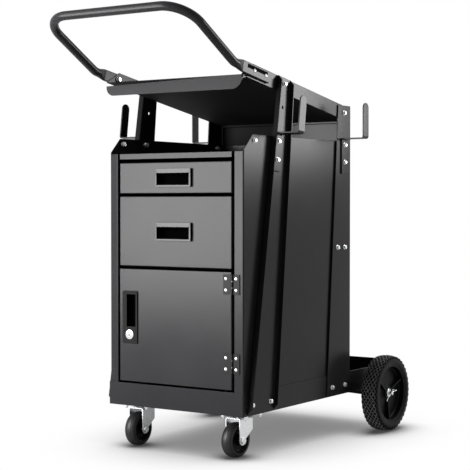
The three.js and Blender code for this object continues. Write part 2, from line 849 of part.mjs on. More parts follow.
/** The sloping tray: a lip down in front, flanges up at the sides and a low lip up at the rear. */
function buildTray() {
  const half = PAN_WIDTH / 2;
  const floor = block(-half, 0, -SHEET, half, trayLength, 0);
  const flange = plateYZ(
    outline([
      [0, -SHEET],
      [trayLength, -SHEET],
      [trayLength, TRAY_FLANGE],
      [TRAY_FLANGE_NOSE, TRAY_FLANGE],
      [0, TRAY_FLANGE - TRAY_FLANGE_NOSE],
    ]),
    half - SHEET,
    SHEET,
  );
  const lip = plateXZ(
    outline([
      [-half, 0],
      [-half, -TRAY_LIP, TRAY_LIP_CORNER],
      [half, -TRAY_LIP, TRAY_LIP_CORNER],
      [half, 0],
    ]),
    0,
    SHEET,
    BEND_FACETS,
  );
  const rearLip = block(-half, trayLength - SHEET, -SHEET, half, trayLength, TRAY_REAR_LIP);
  const tray = join(floor, flange, mirrored(flange), lip, rearLip);
  const place = new THREE.Group();
  place.position.set(0, -TRAY_FRONT, trayFrontHeight);
  place.rotation.x = -TRAY_SLOPE;
  cart.add(place);
  addPiece('top_tray', tray, POWDER_BLACK, place);
}

/** A flange that stands out from a post along an edge, with its outer corners cut off. */
function postFlange(low, high) {
  const edge = new THREE.Vector3(0, high[0] - low[0], high[1] - low[1]);
  const length = edge.length();
  const reach = POST_SHEET + FRONT_POST_FLANGE;
  const shape = outline([
    [0, 0],
    [POST_SHEET, 0],
    [reach, FRONT_POST_FLANGE],
    [reach, length - FRONT_POST_FLANGE],
    [POST_SHEET, length],
    [0, length],
  ]);
  const up = edge.normalize();
  const out = new THREE.Vector3(1, 0, 0);
  const basis = new THREE.Matrix4().makeBasis(out, up, new THREE.Vector3().crossVectors(out, up));
  basis.setPosition(postInner, low[0], low[1]);
  return extruded(shape, POST_SHEET, FOLD_FACETS).applyMatrix4(basis);
}

const frontPostTop = TRAY_FLANGE - FIT;

/** Where a leaning edge that starts at a post's foot meets the line of the post's cut top. */
function postTopAt(footY, lean) {
  const [lineY, lineZ] = trayPlace(0, frontPostTop);
  const rise = (lineZ - postFoot + (lineY - footY) * trayTangent) / (1 + lean * trayTangent);
  return [footY + lean * rise, postFoot + rise];
}

/** The front posts: tapered channels that stand square to the tray. */
function buildFrontPosts() {
  const frontLow = [FRONT_POST_SETBACK, postFoot];
  const frontHigh = postTopAt(FRONT_POST_SETBACK, trayTangent);
  const rearLow = [FRONT_POST_SETBACK + FRONT_POST_BASE, postFoot];
  const rearHigh = postTopAt(rearLow[0], FRONT_POST_REAR_LEAN);
  const web = plateYZ(outline([frontLow, rearLow, rearHigh, frontHigh]), postInner, POST_SHEET);
  const rearFlange = postFlange(rearLow, rearHigh);
  const frontFlange = postFlange(frontLow, frontHigh).translate(0, POST_SHEET, 0);
  const holeZ = (frontHigh[1] + rearHigh[1]) / 2 - POST_HOLE_DROP;
  const holeY = frontPostMiddle(holeZ);
  const hole = plateYZ(
    disc(holeY, holeZ, POST_HOLE / 2),
    postInner - POST_SHEET,
    3 * POST_SHEET,
    BEND_FACETS,
  );
  addPair('front_post', cut(join(web, frontFlange, rearFlange), hole), POWDER_BLACK);
}

/** The middle of a front post's web at a height. */
function frontPostMiddle(z) {
  const rise = z - postFoot;
  return FRONT_POST_SETBACK + (FRONT_POST_BASE + rise * (trayTangent + FRONT_POST_REAR_LEAN)) / 2;
}

const rearPostTop = trayFloor(cabinetRear) + TRAY_FLANGE + REAR_POST_CROWN;

/** The rear posts: tapered flat plates with an upright rear edge. */
function buildRearPosts() {
  const web = outline([
    [cabinetRear - REAR_POST_BASE, postFoot],
    [cabinetRear, postFoot],
    [cabinetRear, rearPostTop],
    [cabinetRear - REAR_POST_TOP, rearPostTop],
  ]);
  addPair('rear_post', plateYZ(web, postInner, POST_SHEET), POWDER_BLACK);
}

/** A cable hook of bent strip about the top of its strap: strap, arm and round-topped upright. */
function hookGeometry() {
  const inner = HOOK_BEND - STRIP;
  const bent = plateXZ(
    outline([
      [0, -HOOK_STRAP],
      [STRIP, -HOOK_STRAP],
      [STRIP, -STRIP, inner],
      [HOOK_ARM, -STRIP, HOOK_BEND],
      [HOOK_ARM, HOOK_UPRIGHT],
      [HOOK_ARM - STRIP, HOOK_UPRIGHT],
      [HOOK_ARM - STRIP, 0, inner],
      [0, 0, HOOK_BEND],
    ]),
    -HOOK_WIDTH / 2,
    HOOK_WIDTH,
  );
  const half = HOOK_WIDTH / 2;
  const blank = outline([
    [-half, -HOOK_STRAP],
    [half, -HOOK_STRAP],
    [half, HOOK_UPRIGHT, half - FIT],
    [-half, HOOK_UPRIGHT, half - FIT],
  ]);
  return common(bent, plateYZ(blank, -STRIP, HOOK_ARM + 2 * STRIP, BEND_FACETS));
}

/** The four cable hooks, two along the lean of the front posts and two upright on the rear ones. */
function buildHooks() {
  const seat = panelTop + HOOK_RISE;
  const x = postOuter + FIT;
  const lean = Math.atan((trayTangent + FRONT_POST_REAR_LEAN) / 2);
  const front = hookGeometry().rotateX(-lean).translate(x, frontPostMiddle(seat) - FRONT_HOOK_SHIFT, seat);
  addPair('cable_hook_front', front, POWDER_BLACK);
  const rear = hookGeometry().translate(x, cabinetRear - REAR_HOOK_INSET, seat);
  addPair('cable_hook_rear', rear, POWDER_BLACK);
}

/** The bottle rest: a strap round the cabinet's back and a plate with a hollow for the bottle. */
function buildBottleRest() {
  const half = panelOuter + FIT + SHEET;
  const bottom = panTop + REST_RISE - REST_TAB_HEIGHT / 2;
  const front = cabinetRear + FIT;
  const rear = front + REST_REACH;
  const tabFront = cabinetRear - REST_TAB;
  const strap = plateXY(
    outline([
      [-half, tabFront],
      [-half + SHEET, tabFront],
      [-half + SHEET, front],
      [half - SHEET, front],
      [half - SHEET, tabFront],
      [half, tabFront],
      [half, front + SHEET, FOLD_RADIUS],
      [-half, front + SHEET, FOLD_RADIUS],
    ]),
    bottom,
    REST_TAB_HEIGHT,
  );
  const bottle = BOTTLE_DIAMETER / 2;
  const wide = REST_WIDTH / 2;
  const hollow = plateXY(
    disc(0, front + SHEET + REST_SETBACK + bottle, bottle),
    bottom - SHEET,
    3 * SHEET,
    ROUND_FACETS,
  );
  const plate = cut(plateXY(rectangle(-wide, front, wide, rear), bottom, SHEET), hollow);
  addPiece('bottle_rest', join(strap, plate), POWDER_BLACK);
}

/** Points and directions along a route of straight runs with rounded corners. */
function roundedRoute(corners, radii, arcSteps) {
  const route = [];
  corners.forEach((corner, i) => {
    if (i === 0 || i === corners.length - 1) {
      const next = i === 0 ? corners[1].clone().sub(corner) : corner.clone().sub(corners[i - 1]);
      route.push({ place: corner.clone(), heading: next.normalize() });
      return;
    }
    const into = corner.clone().sub(corners[i - 1]).normalize();
    const out = corners[i + 1].clone().sub(corner).normalize();
    const turn = into.angleTo(out);
    const reach = radii[i] * Math.tan(turn / 2);
    const start = corner.clone().addScaledVector(into, -reach);
    const inward = out.clone().addScaledVector(into, -out.dot(into)).normalize();
    for (let k = 0; k <= arcSteps; k += 1) {
      const angle = (turn * k) / arcSteps;
      const place = start.clone().addScaledVector(into, radii[i] * Math.sin(angle));
      place.addScaledVector(inward, radii[i] * (1 - Math.cos(angle)));
      const heading = into.clone().multiplyScalar(Math.cos(angle));
      route.push({ place, heading: heading.addScaledVector(inward, Math.sin(angle)) });
    }
  });
  return route;
}

/** A ring of a tube: round, or pressed flat with the same girth, square to its heading. */
function tubeRing(place, thin, wide, halfThin, halfTall) {
  return Array.from({ length: BORE_FACETS }, (_, k) => {
    const angle = (2 * Math.PI * (k + 0.5)) / BORE_FACETS;
    const tall = halfThin * Math.sin(angle) + Math.sign(Math.sin(angle)) * (halfTall - halfThin);
    return place.clone().addScaledVector(thin, halfThin * Math.cos(angle)).addScaledVector(wide, tall);
  });
}

/** The push handle: a bent tube whose ends are pressed flat against the tray's flanges. */
function buildHandle() {
  const x = PAN_WIDTH / 2 + FIT + HANDLE_FLAT / 2;
  const round = HANDLE_DIAMETER / 2;
  const flatThin = HANDLE_FLAT / 2;
  const flatTall = flatThin + (Math.PI * (round - flatThin)) / 2;
  const beside = (along) => new THREE.Vector3(x, ...trayPlace(along, TRAY_FLANGE / 2));
  const swellEnd = -HANDLE_TAB_LEAD - HANDLE_SWELL;
  const legTurn = Math.atan2(HANDLE_RISE, HANDLE_RUN) - TRAY_SLOPE;
  const knee = beside(swellEnd - HANDLE_KNEE * Math.tan(legTurn / 2));
  const corner = knee.clone().add(new THREE.Vector3(0, -HANDLE_RUN, HANDLE_RISE));
  const opposite = (point) => new THREE.Vector3(-point.x, point.y, point.z);
  const tabEnd = beside(HANDLE_TAB);
  const corners = [tabEnd, knee, corner, opposite(corner), opposite(knee), opposite(tabEnd)];
  const radii = [0, HANDLE_KNEE, HANDLE_CORNER, HANDLE_CORNER, HANDLE_KNEE, 0];
  const route = roundedRoute(corners, radii, BEND_FACETS);

  const tabHeading = route[0].heading;
  const swell = Array.from({ length: SWELL_FACETS + 1 }, (_, k) => ({
    place: beside(-HANDLE_TAB_LEAD - (HANDLE_SWELL * k) / SWELL_FACETS),
    heading: tabHeading,
    flat: 1 - THREE.MathUtils.smoothstep(k, 0, SWELL_FACETS),
  }));
  const far = swell.map(({ place, flat }) => ({
    place: opposite(place),
    heading: route.at(-1).heading,
    flat,
  }));
  const bends = route.slice(1, -1).filter(({ place }) => place.distanceTo(swell.at(-1).place) > FIT);
  const between = bends.filter(({ place }) => place.distanceTo(far.at(-1).place) > FIT);
  const stations = [
    { ...route[0], flat: 1 },
    ...swell,
    ...between.map((station) => ({ ...station, flat: 0 })),
    ...far.reverse(),
    { ...route.at(-1), flat: 1 },
  ];

  const thin = new THREE.Vector3(1, 0, 0);
  const turn = new THREE.Quaternion();
  const rings = stations.map(({ place, heading, flat }, i) => {
    const last = stations[Math.max(i - 1, 0)].heading;
    thin.applyQuaternion(turn.setFromUnitVectors(last, heading));
    const wide = new THREE.Vector3().crossVectors(heading, thin);
    const halfThin = THREE.MathUtils.lerp(round, flatThin, flat);
    const halfTall = THREE.MathUtils.lerp(round, flatTall, flat);
    return tubeRing(place, thin, wide, halfThin, halfTall);
  });
  const grooveHalf = HANDLE_GROOVE / 2;
  const grooveShape = rectangle(
    HANDLE_GROOVE,
    TRAY_FLANGE / 2 - grooveHalf,
    HANDLE_TAB - HANDLE_GROOVE,
    TRAY_FLANGE / 2 + grooveHalf,
    grooveHalf - FIT,
  );
  const groove = plateYZ(grooveShape, x + flatThin - HANDLE_GROOVE_DEPTH, HANDLE_FLAT);
  groove.rotateX(-TRAY_SLOPE).translate(0, -TRAY_FRONT, trayFrontHeight);
  addPiece('push_handle', cut(lofted(rings), groove, mirrored(groove)), POWDER_BLACK);
}

const casterX = PAN_WIDTH / 2 - CASTER_INSET;
const plateBottom = panBottom - FIT - CASTER_PLATE_THICKNESS;
const headBottom = plateBottom - CASTER_HEAD_DEPTH;
const forkTop = headBottom - FIT;
const crownBottom = forkTop - FORK_SHEET;
const casterRadius = (crownBottom - CASTER_CLEARANCE) / 2;

/** One caster about its swivel axis: plate with head and kingpin, fork, axle bolt, hub and tyre. */
function buildCaster(side, x, turn) {
  const place = new THREE.Group();
  place.position.set(x, CASTER_BACK, 0);
  cart.add(place);
  const swivel = new THREE.Group();
  swivel.rotation.z = turn;
  place.add(swivel);
  const reach = CASTER_PLATE / 2;
  const plateTop = plateBottom + CASTER_PLATE_THICKNESS;
  const headRadius = CASTER_HEAD_DIAMETER / 2;
  const pinFoot = crownBottom - FIT - FORK_SHEET;
  const plate = join(
    plateXY(rectangle(-reach, -reach, reach, reach, PAN_CORNER), plateBottom, CASTER_PLATE_THICKNESS),
    turned(
      [
        [0, plateTop - FIT],
        [headRadius, plateTop - FIT],
        [headRadius, plateBottom - CASTER_HEAD_DEPTH / 3],
        [headRadius - CASTER_HEAD_DEPTH / 2, headBottom],
        [0, headBottom],
      ],
      ROUND_FACETS,
    ),
    turned(rodProfile(KINGPIN / 2, pinFoot, plateBottom), BORE_FACETS),
    turned(rodProfile(KINGPIN_HEAD / 2, pinFoot, crownBottom - FIT), BORE_FACETS),
  );
  addPiece(`caster_plate_${side}`, plate, ZINC, place);

  const inside = FORK_INSIDE / 2;
  const outside = inside + FORK_SHEET;
  const boss = FORK_BOSS / 2;
  const front = -CASTER_TRAIL - boss;
  const foot = casterRadius - boss;
  const channel = plateXZ(
    outline([
      [-outside, foot],
      [-inside, foot],
      [-inside, crownBottom, FORK_SHEET],
      [inside, crownBottom, FORK_SHEET],
      [inside, foot],
      [outside, foot],
      [outside, forkTop, 2 * FORK_SHEET],
      [-outside, forkTop, 2 * FORK_SHEET],
    ]),
    front,
    FORK_TOP,
  );
  const legSide = plateYZ(
    outline([
      [front, foot, boss - FIT],
      [front + FORK_BOSS, foot, boss - FIT],
      [front + FORK_BOSS, casterRadius + FORK_SHEET],
      [front + FORK_TOP, crownBottom - FORK_SHOULDER],
      [front + FORK_TOP, forkTop],
      [front, forkTop],
    ]),
    -2 * outside,
    4 * outside,
    BEND_FACETS,
  );
  const crown = turned(rodProfile(headRadius, crownBottom, forkTop), ROUND_FACETS);
  const pinHole = turned(rodProfile(KINGPIN / 2 + FIT, foot, plateTop), BORE_FACETS);
  const bore = CASTER_AXLE / 2 + FIT;
  const axleHole = turnedX(rodProfile(bore, -2 * outside, 2 * outside), BORE_FACETS);
  axleHole.translate(0, -CASTER_TRAIL, casterRadius);
  const fork = cut(join(common(channel, legSide), crown), pinHole, axleHole);
  addPiece(`caster_fork_${side}`, fork, ZINC, swivel);

  const nutInner = outside + FIT;
  const nutOuter = nutInner + CASTER_NUT_HEIGHT;
  const axle = join(
    turnedX(rodProfile(CASTER_AXLE / 2, -nutOuter, nutOuter), BORE_FACETS),
    turnedX(rodProfile(CASTER_NUT / 2, nutInner, nutOuter), HEX_FACETS),
    turnedX(rodProfile(CASTER_NUT / 2, -nutOuter, -nutInner), HEX_FACETS),
  );
  addPiece(`caster_axle_${side}`, axle.translate(0, -CASTER_TRAIL, casterRadius), ZINC, swivel);

  const hubHalf = inside - FIT;
  const rim = CASTER_RIM_DIAMETER / 2;
  const rimHalf = CASTER_TYRE_WIDTH / 2 - FORK_SHEET;
  const web = rimHalf / 2;
  const hub = turnedX(
    [
      [bore, -hubHalf],
      [CASTER_HUB_DIAMETER / 2, -hubHalf],
      [CASTER_HUB_DIAMETER / 2, -web],
      [rim - FORK_SHEET, -web],
      [rim - FORK_SHEET, -rimHalf],
      [rim, -rimHalf],
      [rim, rimHalf],
      [rim - FORK_SHEET, rimHalf],
      [rim - FORK_SHEET, web],
      [CASTER_HUB_DIAMETER / 2, web],
      [CASTER_HUB_DIAMETER / 2, hubHalf],
      [bore, hubHalf],
      [bore, -hubHalf],
    ],
    ROUND_FACETS,
  );
  addPiece(`caster_hub_${side}`, hub.translate(0, -CASTER_TRAIL, casterRadius), MOULDED_BLACK, swivel);

  const seat = rim + FIT;
  const section = Array.from({ length: BEND_FACETS + 1 }, (_, k) => {
    const angle = Math.PI * (k / BEND_FACETS - 1 / 2);
    const lift = Math.sqrt(Math.max(Math.cos(angle), 0));
    return [seat + (casterRadius - seat) * lift, (CASTER_TYRE_WIDTH / 2) * Math.sin(angle)];
  });
  const tyre = turnedX([...section, section[0]], WHEEL_FACETS);
  addPiece(`caster_tyre_${side}`, tyre.translate(0, -CASTER_TRAIL, casterRadius), TYRE_BLACK, swivel);
}

const rearWheelX = PAN_WIDTH / 2 + REAR_WHEEL_SPACING + REAR_WHEEL_WIDTH / 2;

/** A tyre whose tread rises and falls in a lattice of lugs, about the x axis. */
function lugTyre() {
  const columns = 2 * REAR_TREAD_LUGS;
  const half = REAR_WHEEL_WIDTH / 2;
  const outer = REAR_WHEEL_DIAMETER / 2;
  const seat = REAR_RIM_DIAMETER / 2 + FIT;
  const rimHalf = REAR_RIM_WIDTH / 2;
  const shoulder = half - REAR_TREAD_DEPTH / 2;
  const wall = (seat + outer) / 2;
  const treadRows = [-1, 0, 1].map((share) => ({ x: share * shoulder, lug: true }));
  const rows = [
    { x: -rimHalf, radius: seat },
    { x: -half, radius: wall },
    ...treadRows,
    { x: half, radius: wall },
    { x: rimHalf, radius: seat },
  ];
  const rings = Array.from({ length: columns }, (_, i) => {
    const angle = (2 * Math.PI * i) / columns;
    return rows.map(({ x, radius, lug }, j) => {
      const r = lug ? outer - REAR_TREAD_DEPTH * ((i + j) % 2) : radius;
      return new THREE.Vector3(x, r * Math.cos(angle), r * Math.sin(angle));
    });
  });
  return closedLoft(rings);
}

/** Skins rings of points in order and joins the last ring to the first. */
function closedLoft(rings) {
  const sides = rings[0].length;
  const places = rings.flat().flatMap((point) => point.toArray());
  const triangles = [];
  rings.forEach((_, r) => {
    const next = (r + 1) % rings.length;
    for (let s = 0; s < sides; s += 1) {
      const t = (s + 1) % sides;
      triangles.push(r * sides + s, r * sides + t, next * sides + t);
      triangles.push(r * sides + s, next * sides + t, next * sides + s);
    }
  });
  const geometry = new THREE.BufferGeometry();
  geometry.setAttribute('position', new THREE.Float32BufferAttribute(places, 3));
  geometry.setIndex(triangles);
  return geometry;
}

/** A rear wheel's rim about the x axis: barrel, web, hub and ribs on the outer side. */
function rearRim() {
  const bore = AXLE_DIAMETER / 2 + FIT;
  const hub = REAR_HUB_DIAMETER / 2;
  const barrel = REAR_RIM_DIAMETER / 2;
  const inside = barrel - REAR_RIM_WALL;
  const half = REAR_RIM_WIDTH / 2;
  const web = REAR_WEB / 2;
  const body = turnedX(
    [
      [bore, -REAR_HUB_INNER],
      [hub, -REAR_HUB_INNER],
      [hub, -web],
      [inside, -web],
      [inside, -half],
      [barrel, -half],
      [barrel, half],
      [inside, half],
      [inside, web],
      [hub, web],
      [hub, REAR_HUB_OUTER],
      [bore, REAR_HUB_OUTER],
      [bore, -REAR_HUB_INNER],
    ],
    WHEEL_FACETS,
  );
  const thick = REAR_RIB_THICKNESS / 2;
  const rib = plateXZ(
    outline([
      [0, hub - REAR_RIM_WALL],
      [REAR_HUB_OUTER, hub - REAR_RIM_WALL],
      [REAR_HUB_OUTER, hub],
      [half - REAR_RIM_WALL, inside + FIT],
      [0, inside + FIT],
    ]),
    -thick,
    2 * thick,
  );
  const ribs = Array.from({ length: REAR_RIB_COUNT }, (_, k) =>
    rib.clone().rotateX((2 * Math.PI * k) / REAR_RIB_COUNT + REAR_RIB_TURN),
  );
  return join(body, ...ribs);
}

/** The rear axle under the pan, with its brackets, spacers, wheels, washers and split pins. */
function buildRearAxle() {
  const hubInner = rearWheelX - REAR_HUB_INNER;
  const hubOuter = rearWheelX + REAR_HUB_OUTER;
  const washerInner = hubOuter + FIT;
  const washerOuter = washerInner + WASHER_THICKNESS;
  const axleEnd = washerOuter + AXLE_OVERHANG;
  const pinX = (washerOuter + axleEnd) / 2;
  const rod = AXLE_DIAMETER / 2;
  const onAxle = (geometry) => geometry.translate(0, REAR_AXLE_BACK, axleHeight);

  const pinHole = turned(rodProfile(COTTER_WIRE / 2 + FIT, -AXLE_DIAMETER, AXLE_DIAMETER), BORE_FACETS);
  pinHole.rotateX(COTTER_TURN).translate(pinX, 0, 0);
  const bar = turnedX(rodProfile(rod, -axleEnd, axleEnd), ROUND_FACETS);
  addPiece('rear_axle', onAxle(cut(bar, pinHole, mirrored(pinHole))), ZINC);

  const halfLength = BRACKET_LENGTH / 2;
  const top = panBottom - FIT - axleHeight;
  const outer = PAN_WIDTH / 2;
  const saddle = rod + FIT;
  const cheek = outline([
    [-halfLength, top],
    [-halfLength, top - POST_SHEET],
    [-BRACKET_BOSS, -BRACKET_BOSS, BRACKET_BOSS / 2],
    [BRACKET_BOSS, -BRACKET_BOSS, BRACKET_BOSS / 2],
    [halfLength, top - POST_SHEET],
    [halfLength, top],
    [saddle, top],
    [saddle, -saddle, saddle - FIT],
    [-saddle, -saddle, saddle - FIT],
    [-saddle, top],
  ]);
  const relief = rod + POST_SHEET;
  const flange = cut(
    block(outer - BRACKET_FLANGE, -halfLength, top - POST_SHEET, outer - FIT, halfLength, top),
    block(outer - 2 * BRACKET_FLANGE, -relief, -relief, outer, relief, top + relief),
  );
  const bracket = join(plateYZ(cheek, outer - POST_SHEET, POST_SHEET, BEND_FACETS), flange);
  addPair('axle_bracket', onAxle(bracket), POWDER_BLACK);

  const sleeve = ringProfile(rod + FIT, rod + FIT + SPACER_WALL, outer + FIT, hubInner - FIT);
  addPair('axle_spacer', onAxle(turnedX(sleeve, ROUND_FACETS)), ZINC);
  const washer = ringProfile(rod + FIT, WASHER_DIAMETER / 2, washerInner, washerOuter);
  addPair('axle_washer', onAxle(turnedX(washer, ROUND_FACETS)), ZINC);

  const shank = COTTER_LENGTH / 2;
  const eye = 1.5 * COTTER_WIRE;
  const pin = join(
    turned(rodProfile(COTTER_WIRE / 2, -shank, shank), BORE_FACETS),
    new THREE.TorusGeometry(eye, COTTER_WIRE / 2, HEX_FACETS, BORE_FACETS)
      .rotateX(Math.PI / 2)
      .translate(0, 0, shank + eye),
  );
  addPair('split_pin', onAxle(pin.rotateX(COTTER_TURN).translate(pinX, 0, 0)), ZINC);

  addPair('rear_rim', onAxle(rearRim().translate(rearWheelX, 0, 0)), MOULDED_BLACK);
  addPair('rear_tyre', onAxle(lugTyre().translate(rearWheelX, 0, 0)), TYRE_BLACK);
}

buildPan();
buildSidePanels();
buildShelf();
buildInnerSheets();
buildDrawer('upper', upperFrontBottom, UPPER_FRONT_HEIGHT);
buildDrawer('lower', lowerFrontBottom, LOWER_FRONT_HEIGHT);
buildDoor();
buildLock();
buildHinge('upper', doorTop - HINGE_TOP_INSET - HINGE_HEIGHT);
buildHinge('lower', doorBottom + HINGE_BOTTOM_INSET);
buildTray();
buildFrontPosts();
buildRearPosts();
buildHooks();
buildBottleRest();
buildHandle();
buildCaster('right', casterX, CASTER_SWIVEL_RIGHT);
buildCaster('left', -casterX, CASTER_SWIVEL_LEFT);
buildRearAxle();

// The cart's own frame has its origin on the floor under the middle of its length
const extent = new THREE.Box3().setFromObject(cart);
cart.position.y = -(extent.min.y + extent.max.y) / 2;

export default cart;
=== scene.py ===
"""The looks of a welding cart: its sheets, tube, wheels and fasteners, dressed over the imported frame."""

import json
import logging
import math
from dataclasses import dataclass, field
from enum import Enum
from typing import Callable, Iterable, Sequence

import bpy
from mathutils import Matrix, Vector


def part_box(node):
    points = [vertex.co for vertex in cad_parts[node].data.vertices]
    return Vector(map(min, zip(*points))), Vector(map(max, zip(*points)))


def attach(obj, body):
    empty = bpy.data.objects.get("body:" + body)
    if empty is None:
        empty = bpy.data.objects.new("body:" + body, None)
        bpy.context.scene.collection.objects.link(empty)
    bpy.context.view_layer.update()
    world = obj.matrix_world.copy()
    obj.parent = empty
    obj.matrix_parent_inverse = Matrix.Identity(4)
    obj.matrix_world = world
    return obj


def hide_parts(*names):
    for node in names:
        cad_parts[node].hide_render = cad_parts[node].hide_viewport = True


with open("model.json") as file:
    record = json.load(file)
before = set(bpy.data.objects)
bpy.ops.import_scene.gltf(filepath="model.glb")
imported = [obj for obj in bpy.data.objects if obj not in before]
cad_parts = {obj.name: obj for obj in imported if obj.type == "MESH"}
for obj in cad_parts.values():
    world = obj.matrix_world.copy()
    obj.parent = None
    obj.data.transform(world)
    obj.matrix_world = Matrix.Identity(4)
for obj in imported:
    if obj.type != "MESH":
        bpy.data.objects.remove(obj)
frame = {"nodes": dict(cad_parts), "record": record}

logging.basicConfig(level=logging.INFO, format="%(message)s")
log = logging.getLogger("welding_cart")

MM = 0.001
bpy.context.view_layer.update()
PAN_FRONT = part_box("base_pan")[0].y
Profile = Sequence[tuple[float, float]]
EdgeRule = Callable[[float, float, float], bool]


def at(x: float, y: float, z: float) -> Vector:
    """Turns a place on the cart into the frame's metres.

    Args:
        x: Millimetres to the right of the middle plane.
        y: Millimetres behind the pan's front face.
        z: Millimetres above the floor.

    Returns:
        The same place in the row frame.
    """
    return Vector((x * MM, y * MM + PAN_FRONT, z * MM))


def facing(place: Vector, normal: Vector, spin: float = 0.0) -> Matrix:
    """Sets a piece that was modelled round the z axis on a surface.

    Args:
        place: Where its foot goes.
        normal: The way its z axis points.
        spin: Its turn about its own axis, in degrees.

    Returns:
        The matrix that takes it there.
    """
    turn = Vector((0, 0, 1)).rotation_difference(normal.normalized()).to_matrix().to_4x4()
    return Matrix.Translation(place) @ turn @ Matrix.Rotation(math.radians(spin), 4, "Z")


class Side(Enum):
    """The cart's two sides, as someone faces its drawers."""

    RIGHT = 1
    LEFT = -1

    @property
    def label(self) -> str:
        """The side's word in node and body names."""
        return self.name.lower()

    @property
    def outward(self) -> Vector:
        """The direction away from the cart."""
        return Vector((self.value, 0, 0))


class Slot(Enum):
    """The record's material slots."""

    FRAME = "frame_coat"
    FRONT = "front_coat"
    PULL = "pull_plastic"
    WHEEL = "wheel_plastic"
    TYRE = "rear_tyre"
    CASTER = "caster_tyre"
    ZINC = "zinc"
    CHROME = "lock_chrome"


NODE_SLOT = {part["node"]: Slot(part["material_slot"]) for part in frame["record"]["subparts"]}
NODE_BODY = {
    node: body for body, nodes in frame["record"]["behaviour"]["bodies"].items() for node in nodes
}
JOINT_AXIS = {joint["name"]: Vector(joint["axis"]) for joint in frame["record"]["behaviour"]["joints"]}


# ---------------------------------------------------------------------------
# Finishes
# ---------------------------------------------------------------------------


